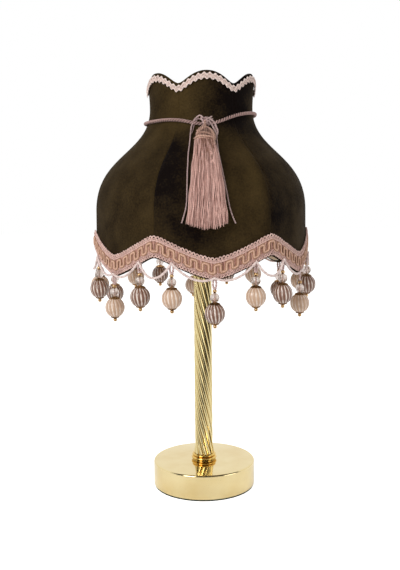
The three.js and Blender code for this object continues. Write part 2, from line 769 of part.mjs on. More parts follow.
// Cast weight: a disc with a hub up to the drum's top and a recess for the rod's nut
function baseWeight() {
  const hubTop = drumTop - DRUM_WALL - SEAT_GAP;
  const weightRadius = BASE_DIAMETER / 2 - DRUM_WALL - WEIGHT_SIDE_GAP;
  const weight = turned([
    [NUT_RECESS_DIAMETER / 2, weightBottom],
    [weightRadius, weightBottom],
    [weightRadius, weightBottom + WEIGHT_THICKNESS],
    [WEIGHT_HUB_DIAMETER / 2, weightBottom + WEIGHT_THICKNESS],
    [WEIGHT_HUB_DIAMETER / 2, hubTop],
    [rodHole, hubTop],
    [rodHole, recessTop],
    [NUT_RECESS_DIAMETER / 2, recessTop],
    [NUT_RECESS_DIAMETER / 2, weightBottom],
  ]);
  return cut(weight, ...screwAngles.map((angle) => coverScrew(angle, SEAT_GAP)));
}

function rodNut() {
  const corner = ROD_NUT_WIDTH / 2 / Math.cos(Math.PI / 6);
  const top = nutBottom + ROD_NUT_HEIGHT;
  return cut(turnedDisc(corner, corner, nutBottom, top, 6), turnedDisc(rodHole, rodHole, 0, top + 1));
}

function threadedRod() {
  const top = holderCapBottom + HOLDER_CAP_HEIGHT / 2;
  return turnedTube(ROD_BORE / 2, ROD_DIAMETER / 2, nutBottom, top, 12);
}

// Collar with a rounded bulge between a narrow foot and a narrow lip
function stemCollar() {
  const bulge = [0, 0.25, 0.5, 0.75, 1].map((share) => {
    const turn = (share - 0.5) * Math.PI;
    const low = COLLAR_HEIGHT * 0.12;
    const high = COLLAR_HEIGHT * 0.72;
    const z = mix(low, high, (1 + Math.sin(turn)) / 2);
    return [COLLAR_LIP_DIAMETER / 2 + (COLLAR_DIAMETER - COLLAR_LIP_DIAMETER) / 2 * Math.cos(turn), z];
  });
  const profile = [
    [rodHole, 0],
    [COLLAR_FOOT_DIAMETER / 2, 0],
    ...bulge,
    [COLLAR_LIP_DIAMETER / 2, COLLAR_HEIGHT],
    [rodHole, COLLAR_HEIGHT],
    [rodHole, 0],
  ];
  return turned(profile.map(([radius, z]) => [radius, collarBottom + z]));
}

// Rope-twist tube: its flutes turn left as they rise, and its foot flares a little
function stemTube() {
  const pointsPerFlute = 2;
  const count = STEM_FLUTES * pointsPerFlute;
  const twist = (2 * Math.PI) / TWIST_PITCH;
  const rows = Math.round(STEM_LENGTH / 10);
  const rings = Array.from({ length: rows + 1 }, (_, row) => {
    const z = (STEM_LENGTH * row) / rows;
    const flare = STEM_FOOT_FLARE * Math.max(0, 1 - z / STEM_FOOT_HEIGHT);
    return Array.from({ length: count }, (_, k) => {
      const groove = k % pointsPerFlute ? FLUTE_DEPTH : 0;
      const angle = (2 * Math.PI * k) / count - twist * z;
      return around(STEM_DIAMETER / 2 + flare - groove, angle, stemBottom + z);
    });
  });
  const bore = turnedDisc(STEM_BORE / 2, STEM_BORE / 2, stemBottom - 1, stemBottom + STEM_LENGTH + 1, 12);
  return cut(loft(rings, "fan"), bore);
}

function stemTopCap() {
  const top = stemCapBottom + STEM_CAP_HEIGHT;
  return turned([
    [rodHole, stemCapBottom],
    [STEM_CAP_DIAMETER / 2, stemCapBottom],
    [STEM_CAP_DIAMETER / 2, stemCapBottom + STEM_CAP_HEIGHT * 0.4],
    [STEM_CAP_DIAMETER * 0.36, top],
    [rodHole, top],
    [rodHole, stemCapBottom],
  ]);
}

// Domed lower cover of the lampholder
function holderCap() {
  const [foot, top] = [holderCapBottom, holderCapBottom + HOLDER_CAP_HEIGHT];
  const outer = HOLDER_DIAMETER / 2;
  const inner = outer - HOLDER_WALL;
  return turned(
    [
      [rodHole, foot],
      [outer * 0.5, foot],
      [outer * 0.82, foot + HOLDER_CAP_HEIGHT * 0.2],
      [outer, foot + HOLDER_CAP_HEIGHT * 0.6],
      [outer, top],
      [inner, top],
      [inner, foot + HOLDER_CAP_HEIGHT * 0.62],
      [outer * 0.72, foot + HOLDER_CAP_HEIGHT * 0.3],
      [rodHole, foot + HOLDER_CAP_HEIGHT * 0.3],
      [rodHole, foot],
    ],
    BULB_STEPS,
  );
}

const switchBarZ = holderBottom + (INSERT_HEIGHT - SWITCH_BAR_HEIGHT) / 2 + SWITCH_BAR_HEIGHT / 2;

// Sleeve of the lampholder, with a shoulder that carries the shade and windows for the switch bar
function holderBody() {
  const top = holderBottom + HOLDER_LENGTH;
  const shoulder = holderBottom + SHOULDER_HEIGHT;
  const outer = HOLDER_DIAMETER / 2;
  const inner = outer - HOLDER_WALL;
  const sleeve = turned(
    [
      [inner, holderBottom],
      [outer, holderBottom],
      [outer, shoulder - SHOULDER_THICKNESS],
      [SHOULDER_DIAMETER / 2, shoulder - SHOULDER_THICKNESS],
      [SHOULDER_DIAMETER / 2, shoulder],
      [outer, shoulder],
      [outer, top],
      [inner, top],
      [inner, holderBottom],
    ],
    BULB_STEPS,
  );
  const window = new THREE.BoxGeometry(
    HOLDER_DIAMETER * 1.2,
    SWITCH_BAR_WIDTH + 2 * SEAT_GAP,
    SWITCH_BAR_HEIGHT + 2 * SEAT_GAP,
  ).translate(0, 0, switchBarZ);
  return cut(sleeve, window);
}

const sleeveInner = BULB_CAP_DIAMETER / 2 + RUNNING_GAP;
const sleeveOuter = sleeveInner + CONTACT_SLEEVE_WALL;
const insertInner = sleeveOuter + SEAT_GAP;
const insertOuter = HOLDER_DIAMETER / 2 - HOLDER_WALL - SEAT_GAP;

function ceramicInsert() {
  const top = insertBottom + INSERT_LENGTH;
  const outer = Math.max(insertOuter, insertInner + INSERT_WALL / 2);
  return turned(
    [
      [0, insertBottom],
      [outer, insertBottom],
      [outer, top],
      [insertInner, top],
      [insertInner, insertFloorTop],
      [0, insertFloorTop],
    ],
    BULB_STEPS,
  );
}

function switchBar() {
  return new THREE.BoxGeometry(SWITCH_BAR_LENGTH, SWITCH_BAR_WIDTH, SWITCH_BAR_HEIGHT).translate(
    -SWITCH_TRAVEL / 2,
    0,
    switchBarZ,
  );
}

// Threaded ring that clamps the fitter ring on the shoulder
function retainingRing() {
  const bore = HOLDER_DIAMETER / 2 + SEAT_GAP;
  const grip = bore + RING_NUT_WALL;
  const z = ringNutBottom;
  return turned(
    [
      [bore, z],
      [RING_NUT_DIAMETER / 2, z],
      [RING_NUT_DIAMETER / 2, z + RING_NUT_FLANGE],
      [grip, z + RING_NUT_FLANGE * 1.4],
      [grip, z + RING_NUT_HEIGHT],
      [bore, z + RING_NUT_HEIGHT],
      [bore, z],
    ],
    BULB_STEPS,
  );
}

const bulbCapTop = bulbBottom + BULB_CAP_LENGTH;

function bulbCap() {
  const radius = BULB_CAP_DIAMETER / 2;
  return turned(
    [
      [0, bulbBottom],
      [CENTRE_CONTACT_DIAMETER / 2, bulbBottom],
      [radius - BULB_CAP_CHAMFER, bulbBottom + (BULB_CAP_FOOT * 2) / 3],
      [radius, bulbBottom + BULB_CAP_FOOT],
      [radius, bulbCapTop],
      [0, bulbCapTop],
    ],
    BULB_STEPS,
  );
}

// Pear-shaped hollow glass: a ball with a neck that narrows to the cap, open at its foot
function bulbGlobe() {
  const foot = bulbCapTop + SEAT_GAP;
  const centre = foot + BULB_LENGTH - BULB_DIAMETER / 2;
  const side = (inset) => [
    [BULB_CAP_DIAMETER / 2 - inset, foot],
    [BULB_CAP_DIAMETER / 2 - inset, foot + BULB_LENGTH * 0.12],
    ...[-40, -12, 12, 36, 62].map((degrees) => [
      (BULB_DIAMETER / 2 - inset) * Math.cos(radians(degrees)),
      centre + (BULB_DIAMETER / 2 - inset) * Math.sin(radians(degrees)),
    ]),
    [0, foot + BULB_LENGTH - inset],
  ];
  return turned([...side(0), ...side(GLASS_THICKNESS).reverse(), [BULB_CAP_DIAMETER / 2, foot]], BULB_STEPS);
}

function buildBase() {
  add("felt_pad", feltPad(), feltGreen);
  add("base_shell", baseShell(), polishedBrass);
  add("base_cover_plate", coverPlate(), steel);
  add("base_weight", baseWeight(), castIron);
  screwAngles.forEach((angle, i) => add("cover_screw_" + (i + 1), coverScrew(angle), steel));
  add("cable_gland", cableGland(), blackPlastic);
  add("rod_nut", rodNut(), steel);
  add(
    "lock_washer",
    turnedTube(rodHole, WASHER_DIAMETER / 2, washerBottom, washerBottom + WASHER_THICKNESS, 16),
    steel,
  );
}

function buildStem() {
  add("threaded_rod", threadedRod(), steel);
  add("stem_collar", stemCollar(), plainBrass);
  add("stem_tube", stemTube(), polishedBrass);
  add("stem_top_cap", stemTopCap(), plainBrass);
}

function buildLampholder() {
  add("holder_cap", holderCap(), plainBrass);
  add("holder_body", holderBody(), plainBrass);
  add("ceramic_insert", ceramicInsert(), porcelain);
  const contactBottom = insertFloorTop + SEAT_GAP;
  const sleeveTop = insertBottom + INSERT_LENGTH - SLEEVE_RECESS;
  add("side_contact", turnedTube(sleeveInner, sleeveOuter, contactBottom, sleeveTop, BULB_STEPS), plainBrass);
  const centre = CENTRE_CONTACT_DIAMETER / 2;
  add(
    "centre_contact",
    turnedDisc(centre, centre * 0.7, contactBottom, contactBottom + CENTRE_CONTACT_HEIGHT, 12),
    plainBrass,
  );
  add("switch_bar", switchBar(), blackPlastic);
  add("shade_ring", retainingRing(), plainBrass);
  add("bulb_cap", bulbCap(), steel);
  add("bulb_globe", bulbGlobe(), opalGlass);
}

function buildShade() {
  add("wire_frame", wireFrame(), whiteEnamel);
  add("fitter_spider", fitterSpider(), whiteEnamel);
  for (let i = 0; i < SHADE_PANELS; i++) add("velvet_panel_" + (i + 1), velvetPanel(i), velvet);
  add("lining", shadeLining(), liningCloth);
  const gimpTopAt = (angle) => topAt(angle) - LIP_SHOWING;
  add("top_gimp", trimming((a) => gimpTopAt(a) - GIMP_WIDTH, gimpTopAt), mauveGimp);
  add("bottom_braid", trimming(braidFootAt, (a) => braidFootAt(a) + BRAID_WIDTH), pinkBraid);
  add("neck_cord", neckCord(), mauveGimp);
  add("swag_cord", swagCord(), creamBead);
}

function buildTassel() {
  add("tassel_knot", tasselKnot(), tasselSilk);
  const hanging = new THREE.Group();
  hanging.position.copy(tasselPivot);
  lamp.add(hanging);
  const away = tasselPivot.clone().negate().toArray();
  add("tassel_head", tasselHead().translate(...away), tasselSilk, hanging);
  add("tassel_skirt", tasselSkirt().translate(...away), tasselSilk, hanging);
  add("tassel_tail_left", tasselTail(LEFT_TAIL), tasselSilk);
  add("tassel_tail_right", tasselTail(RIGHT_TAIL), tasselSilk);
}

// Drops alternate between the two bead colours all the way round
function buildDrops() {
  dropAngles.forEach((angle, i) => {
    const number = String(i + 1).padStart(2, "0");
    const drop = add("bead_drop_" + number, beadDrop(), i % 2 ? taupeBead : creamBead);
    drop.position.copy(dropEye(angle));
    drop.rotation.z = angle;
  });
}

buildBase();
buildStem();
buildLampholder();
buildShade();
buildTassel();
buildDrops();

export default lamp;
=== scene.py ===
"""Table lamp: a velvet shade with braids, a tassel and bead drops, on a rope-twist brass stand.

Everything is in metres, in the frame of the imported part: +Z is up and the front looks along -Y.
An angle round the lamp is measured from the front towards +X.
"""

import logging
import math
import random
from bisect import bisect_left
from collections.abc import Callable, Sequence
from dataclasses import dataclass
from enum import Enum
from functools import cached_property

import bmesh
import bpy
from mathutils import Matrix, Vector

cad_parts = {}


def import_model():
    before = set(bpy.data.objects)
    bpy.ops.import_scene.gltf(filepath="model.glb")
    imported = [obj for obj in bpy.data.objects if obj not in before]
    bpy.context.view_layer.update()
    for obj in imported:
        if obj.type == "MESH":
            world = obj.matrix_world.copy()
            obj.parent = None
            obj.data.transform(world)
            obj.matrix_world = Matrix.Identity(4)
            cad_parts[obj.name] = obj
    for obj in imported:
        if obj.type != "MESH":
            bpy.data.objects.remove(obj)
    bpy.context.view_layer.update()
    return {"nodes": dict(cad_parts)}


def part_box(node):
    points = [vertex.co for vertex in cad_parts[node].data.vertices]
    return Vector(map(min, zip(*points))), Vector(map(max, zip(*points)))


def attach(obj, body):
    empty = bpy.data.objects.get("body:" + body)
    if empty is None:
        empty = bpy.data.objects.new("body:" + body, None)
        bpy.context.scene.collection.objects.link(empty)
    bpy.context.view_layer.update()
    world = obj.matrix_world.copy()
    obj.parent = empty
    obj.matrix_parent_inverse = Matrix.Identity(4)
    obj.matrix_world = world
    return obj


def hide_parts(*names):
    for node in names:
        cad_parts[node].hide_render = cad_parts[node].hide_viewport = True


log = logging.getLogger("table_lamp")

MM = 0.001
TURN = 2 * math.pi
MERGE = 1e-7  # points nearer than this are one
NEAR = 1e-6  # poles and heights nearer than this are the same

BMesh = bmesh.types.BMesh
BMVert = bmesh.types.BMVert
Material = bpy.types.Material
Node = bpy.types.Node
Socket = bpy.types.NodeSocket
Tree = bpy.types.NodeTree
Colour = tuple[float, float, float]
FlatPath = Sequence[tuple[float, float]]
Placer = Callable[[float, float], Vector]


def mix(a: float, b: float, share: float) -> float:
    """Value at a share of the way from a to b."""
    return a + (b - a) * share


def smooth(value: float, low: float, high: float) -> float:
    """Smooth step from 0 at low to 1 at high."""
    share = min(1.0, max(0.0, (value - low) / (high - low)))
    return share * share * (3 - 2 * share)


def srgb(red: int, green: int, blue: int) -> Colour:
    """Linear colour of an 8-bit screen colour."""

    def linear(byte: int) -> float:
        share = byte / 255
        return share / 12.92 if share <= 0.04045 else ((share + 0.055) / 1.055) ** 2.4

    return linear(red), linear(green), linear(blue)


def around(radius: float, angle: float, z: float) -> Vector:
    """Point at a radius and height, at an angle from the front."""
    return Vector((radius * math.sin(angle), -radius * math.cos(angle), z))


def weld(bm: BMesh, verts: Sequence[BMVert], nearer: float = MERGE) -> None:
    """Joins points that are nearer to each other than this."""
    bmesh.ops.remove_doubles(bm, verts=verts, dist=nearer)


def patch(
    bm: BMesh,
    across: int,
    along: int,
    place: Placer,
    uv_size: tuple[float, float] = (1, 1),
    tint: float | Callable[[float, float], float] = 0.5,
) -> list[BMVert]:
    """Adds a grid and puts each of its points where place says.

    Args:
        bm: mesh to add to.
        across: faces in the first direction.
        along: faces in the second direction.
        place: gives the point for two shares from 0 to 1.
        uv_size: size of the grid in its UV map.
        tint: how light its colour is, from 0 to 1, or that for two shares.

    Returns:
        The grid's points.
    """
    layer = bm.loops.layers.uv.verify()
    tints = bm.verts.layers.float.get("tint") or bm.verts.layers.float.new("tint")
    verts = bmesh.ops.create_grid(bm, x_segments=across, y_segments=along, size=0.5, calc_uvs=True)["verts"]
    wide, high = uv_size
    for face in {face for vert in verts for face in vert.link_faces}:
        for loop in face.loops:
            loop[layer].uv = ((loop.vert.co.x + 0.5) * wide, (loop.vert.co.y + 0.5) * high)
    for vert in verts:
        u, v = vert.co.x + 0.5, vert.co.y + 0.5
        vert.co = place(u, v)
        vert[tints] = tint(u, v) if callable(tint) else tint
    return verts


def frames_along(
    points: Sequence[Vector], closed: bool, ups: Sequence[Vector] | None = None
) -> list[tuple[Vector, Vector, Vector]]:
    """Frames that follow a path without twisting.

    Args:
        points: the path.
        closed: whether its end meets its start.
        ups: direction that stays up at each point, if there is one.

    Returns:
        For each point, the point, the direction to its side and the direction up.
    """
    count = len(points)
    tangents = []
    for i, here in enumerate(points):
        before = points[i - 1] if closed or i else here
        after = points[(i + 1) % count] if closed or i < count - 1 else here
        tangents.append((after - before).normalized())
    if ups is None:
        up = tangents[0].orthogonal().normalized()
        carried = [up]
        for last, tangent in zip(tangents, tangents[1:]):
            up = last.rotation_difference(tangent) @ up
            carried.append(up)
        slip = 0.0
        if closed:
            home = tangents[-1].rotation_difference(tangents[0]) @ up
            slip = math.atan2(home.cross(carried[0]).dot(tangents[0]), home.dot(carried[0]))
        ups = [Matrix.Rotation(slip * i / count, 3, tangents[i]) @ up for i, up in enumerate(carried)]
    frames = []
    for point, tangent, up in zip(points, tangents, ups):
        side = tangent.cross(up).normalized()
        frames.append((point, side, side.cross(tangent)))
    return frames


def path_length(points: Sequence[Vector], closed: bool = False) -> float:
    """Length of a path."""
    total = sum((b - a).length for a, b in zip(points, points[1:]))
    return total + (points[0] - points[-1]).length if closed else total


def tube(
    bm: BMesh,
    points: Sequence[Vector],
    radius: float | Callable[[float], float],
    sides: int = 6,
    closed: bool = False,
    flat: float = 1.0,
    ups: Sequence[Vector] | None = None,
    tint: float = 0.5,
    core: Sequence[Vector] | None = None,
) -> None:
    """Adds a round or flattened strand along a path.

    Args:
        bm: mesh to add to.
        points: the path of the strand's middle.
        radius: the strand's radius, or its radius at a share of its length.
        sides: sides of its section.
        closed: whether it is a ring.
        flat: height of its section as a share of its width.
        ups: direction of the section's height at each point.
        tint: how light its colour is, from 0 to 1.
        core: middle of the cord it is a strand of; the strand is painted darker towards it, as shade in the twist's
            grooves, and lighter on its outer side.
    """
    frames = frames_along(points, closed, ups)
    spans = len(points) if closed else len(points) - 1

    def place(u: float, v: float) -> Vector:
        station = round(v * spans)
        point, side, up = frames[station % len(frames)]
        size = radius(station / spans) if callable(radius) else radius
        turn = TURN * u
        return point + side * (math.cos(turn) * size) + up * (math.sin(turn) * size * flat)

    # Painted shade towards the cord's middle, and a painted highlight on the strand's outer side.
    def shade(u: float, v: float) -> float:
        station = round(v * spans) % len(frames)
        size = radius(v) if callable(radius) else radius
        away = (points[station] - core[station]).length
        out = ((place(u, v) - core[station]).length - away) / size
        return tint * mix(0.0, 1.15, smooth(out, -0.2, 0.9)) - 0.35 * (1 - smooth(out, -0.2, 0.5))

    length = path_length(points, closed)
    weld(bm, patch(bm, sides, spans, place, (1, length), tint if core is None else shade))


def plies(
    points: Sequence[Vector], count: int, offset: float, pitch: float, closed: bool = False
) -> list[list[Vector]]:
    """Paths of strands that are twisted together along a path.

    Args:
        points: the path of the cord's middle.
        count: how many strands there are.
        offset: distance of each strand's middle from the cord's middle.
        pitch: length of one turn of the twist.
        closed: whether the cord is a ring.

    Returns:
        The path of each strand.
    """
    frames = frames_along(points, closed)
    turns = path_length(points, closed) / pitch
    if closed:
        turns = round(turns)
    spans = len(points) if closed else len(points) - 1
    return [
        [
            point
            + side * (offset * math.cos(TURN * (turns * i / spans + ply / count)))
            + up * (offset * math.sin(TURN * (turns * i / spans + ply / count)))
            for i, (point, side, up) in enumerate(frames)
        ]
        for ply in range(count)
    ]


def smooth_path(points: Sequence[Vector], step: float) -> list[Vector]:
    """Even points on a smooth curve through a few points.

    Args:
        points: the points it passes through.
        step: distance between the even points.

    Returns:
        The curve's points.
    """
    ends = [points[0] * 2 - points[1], *points, points[-1] * 2 - points[-2]]
    fine = []
    for a, b, c, d in zip(ends, ends[1:], ends[2:], ends[3:]):
        for k in range(12):
            t = k / 12
            fine.append(
                (b * 2 + (c - a) * t + (a * 2 - b * 5 + c * 4 - d) * t**2 + (b * 3 - a - c * 3 + d) * t**3) * 0.5
            )
    fine.append(points[-1].copy())
    lengths = [0.0]
    for a, b in zip(fine, fine[1:]):
        lengths.append(lengths[-1] + (b - a).length)
    spans = max(2, round(lengths[-1] / step))
    even = []
    for k in range(spans + 1):
        want = lengths[-1] * k / spans
        i = min(max(bisect_left(lengths, want), 1), len(fine) - 1)
        share = (want - lengths[i - 1]) / max(lengths[i] - lengths[i - 1], 1e-12)
        even.append(fine[i - 1].lerp(fine[i], share))
    return even


def lathe(
    bm: BMesh, profile: FlatPath, steps: int = 96, closed: bool = True
) -> list[BMVert]:
    """Adds a shape turned about the Z axis.

    Args:
        bm: mesh to add to.
        profile: pairs of radius and height.
        steps: steps round the axis.
        closed: whether the profile's end joins its start.

    Returns:
        The shape's points.
    """
    before = len(bm.verts)
    verts = [bm.verts.new((radius, 0, z)) for radius, z in profile]
    edges = [bm.edges.new(pair) for pair in zip(verts, verts[1:])]
    if closed:
        edges.append(bm.edges.new((verts[-1], verts[0])))
    bmesh.ops.spin(
        bm, geom=verts + edges, cent=(0, 0, 0), axis=(0, 0, 1), angle=TURN, steps=steps, use_merge=True
    )
    bm.verts.ensure_lookup_table()
    weld(bm, bm.verts[before:])
    bm.verts.ensure_lookup_table()
    return list(bm.verts[before:])


def arc(centre: tuple[float, float], radius: float, start: float, end: float, steps: int) -> list[tuple[float, float]]:
    """Points on an arc, from one angle in degrees to another."""
    turns = [math.radians(mix(start, end, i / steps)) for i in range(steps + 1)]
    return [(centre[0] + radius * math.cos(turn), centre[1] + radius * math.sin(turn)) for turn in turns]


def add_object(name: str, data: bpy.types.ID) -> bpy.types.Object:
    """Adds an object to the scene."""
    made = bpy.data.objects.new(name, data)
    bpy.context.scene.collection.objects.link(made)
    return made


def add_mesh(name: str, bm: BMesh, material: Material) -> bpy.types.Object:
    """Adds an object with this material, and with this mesh, which is freed."""
    mesh = bpy.data.meshes.new(name)
    bm.to_mesh(mesh)
    bm.free()
    mesh.materials.append(material)
    return add_object(name, mesh)


@dataclass(frozen=True)
class Piece:
    """What a finished piece rides on and stands for."""

    name: str
    body: str
    slot: str
    replaces: tuple[str, ...] = ()


def finish_piece(
    bm: BMesh,
    piece: Piece,
    material: Material,
    shell: bool = True,
    sharp: float = 40.0,
) -> bpy.types.Object:
    """Makes the object of a finished mesh and fixes it to its body.

    Args:
        bm: the mesh, which is freed.
        piece: the piece's name, body, slot and nodes.
        material: its finish.
        shell: whether it is a closed shell, whose ends are closed and whose normals are worked out.
        sharp: angle in degrees past which an edge stays sharp.

    Returns:
        The object.
    """
    if shell:
        bmesh.ops.holes_fill(bm, edges=[edge for edge in bm.edges if edge.is_boundary], sides=0)
        bmesh.ops.recalc_face_normals(bm, faces=bm.faces)
    for face in bm.faces:
        face.smooth = True
    made = add_mesh(piece.name, bm, material)
    made.data.set_sharp_from_angle(angle=math.radians(sharp))
    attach(made, piece.body)
    if piece.replaces:
        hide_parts(*piece.replaces)
    log.info("%s: %d faces", piece.name, len(made.data.polygons))
    return made


class Wiring:
    """Adds and joins the nodes of one tree."""

    def __init__(self, tree: Tree) -> None:
        """Keeps the tree."""
        self.tree = tree

    def node(self, kind: str, **settings: object) -> Node:
        """Adds a node with these settings."""
        made = self.tree.nodes.new(kind)
        for name, value in settings.items():
            setattr(made, name, value)
        return made

    def put(self, socket: Socket, value: object) -> None:
        """Links an input to a socket or sets its value."""
        if isinstance(value, Socket):
            self.tree.links.new(value, socket)
        else:
            socket.default_value = value

    def feed(self, node: Node, **values: object) -> Node:
        """Sets or links inputs, named with _ for a space."""
        for name, value in values.items():
            self.put(node.inputs[name.replace("_", " ")], value)
        return node

    def maths(self, operation: str, *values: object) -> Socket:
        """Result of a Math node on sockets or numbers."""
        node = self.node("ShaderNodeMath", operation=operation)
        for socket, value in zip(node.inputs, values):
            self.put(socket, value)
        return node.outputs[0]

    def noise(self, vector: Socket, scale: float | Socket, detail: float = 3.0) -> Socket:
        """Noise from 0 to 1 at a scale."""
        return self.feed(self.node("ShaderNodeTexNoise"), Vector=vector, Scale=scale, Detail=detail).outputs["Fac"]

    def tint(self) -> Socket:
        """How light the surface's own attribute makes it."""
        return self.node("ShaderNodeAttribute", attribute_name="tint").outputs["Fac"]

    def axes(self, vector: Socket) -> tuple[Socket, Socket]:
        """The X and Y of a vector."""
        outputs = self.feed(self.node("ShaderNodeSeparateXYZ"), Vector=vector).outputs
        return outputs["X"], outputs["Y"]

    def spread(self, value: Socket, low: float, high: float, start: float, end: float) -> Socket:
        """Value from low to high, turned into start to end."""
        node = self.node("ShaderNodeMapRange")
        self.feed(node, Value=value, From_Min=low, From_Max=high, To_Min=start, To_Max=end)
        return node.outputs["Result"]

    def blend(self, share: Socket, low: Colour, high: Colour) -> Socket:
        """Colour between two by a share."""
        node = self.node("ShaderNodeValToRGB")
        self.tree.links.new(share, node.inputs[0])
        node.color_ramp.elements[0].color = (*low, 1)
        node.color_ramp.elements[1].color = (*high, 1)
        return node.outputs["Color"]

    def bump(self, height: Socket, strength: float, distance: float) -> Socket:
        """Normal of a bump in metres."""
        node = self.node("ShaderNodeBump")
        self.feed(node, Height=height, Strength=strength, Distance=distance)
        return node.outputs["Normal"]

    def group(self, tree: Tree, **values: object) -> Node:
        """Places a shared effect with its own values."""
        node = self.node("ShaderNodeGroup", node_tree=tree)
        return self.feed(node, **values)

    def coordinates(self, kind: str) -> Socket:
        """Object or UV coordinates."""
        return self.node("ShaderNodeTexCoord").outputs[kind]


def new_effect(name: str, inputs: dict[str, float], outputs: Sequence[str]) -> tuple[Wiring, Node, Node]:
    """Starts a shared effect that reads a vector and numbers.

    Args:
        name: the effect's name.
        inputs: its numbers with their usual values.
        outputs: the names of what it puts out.

    Returns:
        Its wiring, its input node and its output node.
    """
    tree = bpy.data.node_groups.new(name, "ShaderNodeTree")
    tree.interface.new_socket(name="Vector", in_out="INPUT", socket_type="NodeSocketVector")
    for label, value in inputs.items():
        socket = tree.interface.new_socket(name=label, in_out="INPUT", socket_type="NodeSocketFloat")
        socket.default_value = value
    for label in outputs:
        tree.interface.new_socket(name=label, in_out="OUTPUT", socket_type="NodeSocketFloat")
    wiring = Wiring(tree)
    return wiring, wiring.node("NodeGroupInput"), wiring.node("NodeGroupOutput")


class Effects:
    """Effects that several finishes share, each built once."""

    @cached_property
    def mottle(self) -> Tree:
        """Soft patches with fine grain on them."""
        wiring, start, end = new_effect("mottle", {"Patches": 20.0, "Grain": 900.0}, ("Patch", "Grain"))
        patches = wiring.noise(start.outputs["Vector"], start.outputs["Patches"])
        grain = wiring.noise(start.outputs["Vector"], start.outputs["Grain"], 2.0)
        wiring.feed(end, Patch=wiring.spread(patches, 0.3, 0.7, 0, 1), Grain=grain)
        return wiring.tree

    @cached_property
    def twist(self) -> Tree:
        """Fine threads that run slantwise round a strand, on its UV map."""
        wiring, start, end = new_effect("thread_twist", {"Threads": 4.0, "Pitch": 0.004}, ("Thread", "Fuzz"))
        across, along = wiring.axes(start.outputs["Vector"])
        turns = wiring.maths("MULTIPLY", across, start.outputs["Threads"])
        rise = wiring.maths("DIVIDE", along, start.outputs["Pitch"])
        wave = wiring.maths("SINE", wiring.maths("MULTIPLY", wiring.maths("ADD", turns, rise), TURN))
        fuzz = wiring.noise(start.outputs["Vector"], 700.0, 2.0)
        wiring.feed(end, Thread=wiring.spread(wave, -1, 1, 0, 1), Fuzz=fuzz)
        return wiring.tree


@dataclass(frozen=True)
class Metal:
    """Polished or plated metal with faint smears and fine grain."""

    name: str
    colour: Colour
    deep: Colour
    roughness: float = 0.12
    smear: float = 0.08
    grain: float = 0.02
    grooves: Colour | None = None

    def material(self, effects: Effects) -> Material:
        """Builds the finish, with painted shade in its grooves where the surface's tint is low."""
        made, wiring, shader = new_material(self.name)
        marks = wiring.group(effects.mottle, Vector=wiring.coordinates("Object"), Patches=26.0, Grain=1400.0)
        patch_out, grain_out = marks.outputs["Patch"], marks.outputs["Grain"]
        colour = wiring.blend(patch_out, self.deep, self.colour)
        if self.grooves is not None:
            # The grooves colour is painted shade in the flutes, made uneven in patches.
            patchy_groove_shade = wiring.spread(patch_out, 0, 1, 0.8, 1)
            rise = wiring.maths("MULTIPLY", wiring.spread(wiring.tint(), 0.2, 1.0, 0, 1), patchy_groove_shade)
            colour = wiring.blend(rise, self.grooves, self.colour)
        wiring.feed(
            shader,
            Base_Color=colour,
            Roughness=wiring.spread(patch_out, 0, 1, self.roughness + self.smear, self.roughness),
            Metallic=1.0,
            Normal=wiring.bump(grain_out, self.grain, 0.0004),
        )
        return made


@dataclass(frozen=True)
class Coating:
    """Glazed, moulded, cast or enamelled surface."""

    name: str
    colour: Colour
    deep: Colour
    roughness: float = 0.35
    grain: float = 0.05
    grain_scale: float = 900.0
    coat: float = 0.0

    def material(self, effects: Effects) -> Material:
        """Builds the finish."""
        made, wiring, shader = new_material(self.name)
        marks = wiring.group(effects.mottle, Vector=wiring.coordinates("Object"), Patches=40.0, Grain=self.grain_scale)
        wiring.feed(
            shader,
            Base_Color=wiring.blend(marks.outputs["Patch"], self.deep, self.colour),
            Roughness=wiring.spread(marks.outputs["Grain"], 0.3, 0.7, self.roughness * 0.85, self.roughness * 1.15),
            Coat_Weight=self.coat,
            Normal=wiring.bump(marks.outputs["Grain"], self.grain, 0.0005),
        )
        return made


@dataclass(frozen=True)
class Yarn:
    """Strand of twisted thread, on a UV map whose second axis is its length in metres."""

    name: str
    light: Colour
    dark: Colour
    threads: float = 4.0
    pitch: float = 0.004
    sheen: float = 0.2
    roughness: float = 0.6
    depth: float = 0.5
    patches: float = 260.0

    def material(self, effects: Effects) -> Material:
        """Builds the finish."""
        made, wiring, shader = new_material(self.name)
        strand = wiring.group(effects.twist, Vector=wiring.coordinates("UV"), Threads=self.threads, Pitch=self.pitch)
        patches = wiring.noise(wiring.coordinates("Object"), self.patches)
        thread, fuzz = strand.outputs["Thread"], strand.outputs["Fuzz"]
        # The tint attribute gives each strand's own tone and, on cords built round a core, painted shade in the twist.
        own = wiring.maths("ADD", wiring.maths("MULTIPLY", patches, 0.5), wiring.maths("MULTIPLY", wiring.tint(), 0.6))
        tone = wiring.maths("ADD", wiring.maths("MULTIPLY", thread, 0.3), own)
        height = wiring.maths("ADD", thread, wiring.maths("MULTIPLY", fuzz, 0.6))
        wiring.feed(
            shader,
            Base_Color=wiring.blend(wiring.spread(tone, 0.35, 1.05, 0, 1), self.dark, self.light),
            Roughness=wiring.spread(fuzz, 0.3, 0.7, self.roughness * 0.9, self.roughness * 1.1),
            Sheen_Weight=self.sheen,
            Sheen_Roughness=0.4,
            Specular_IOR_Level=0.3,
            Normal=wiring.bump(height, self.depth, 0.0003),
        )
        return made


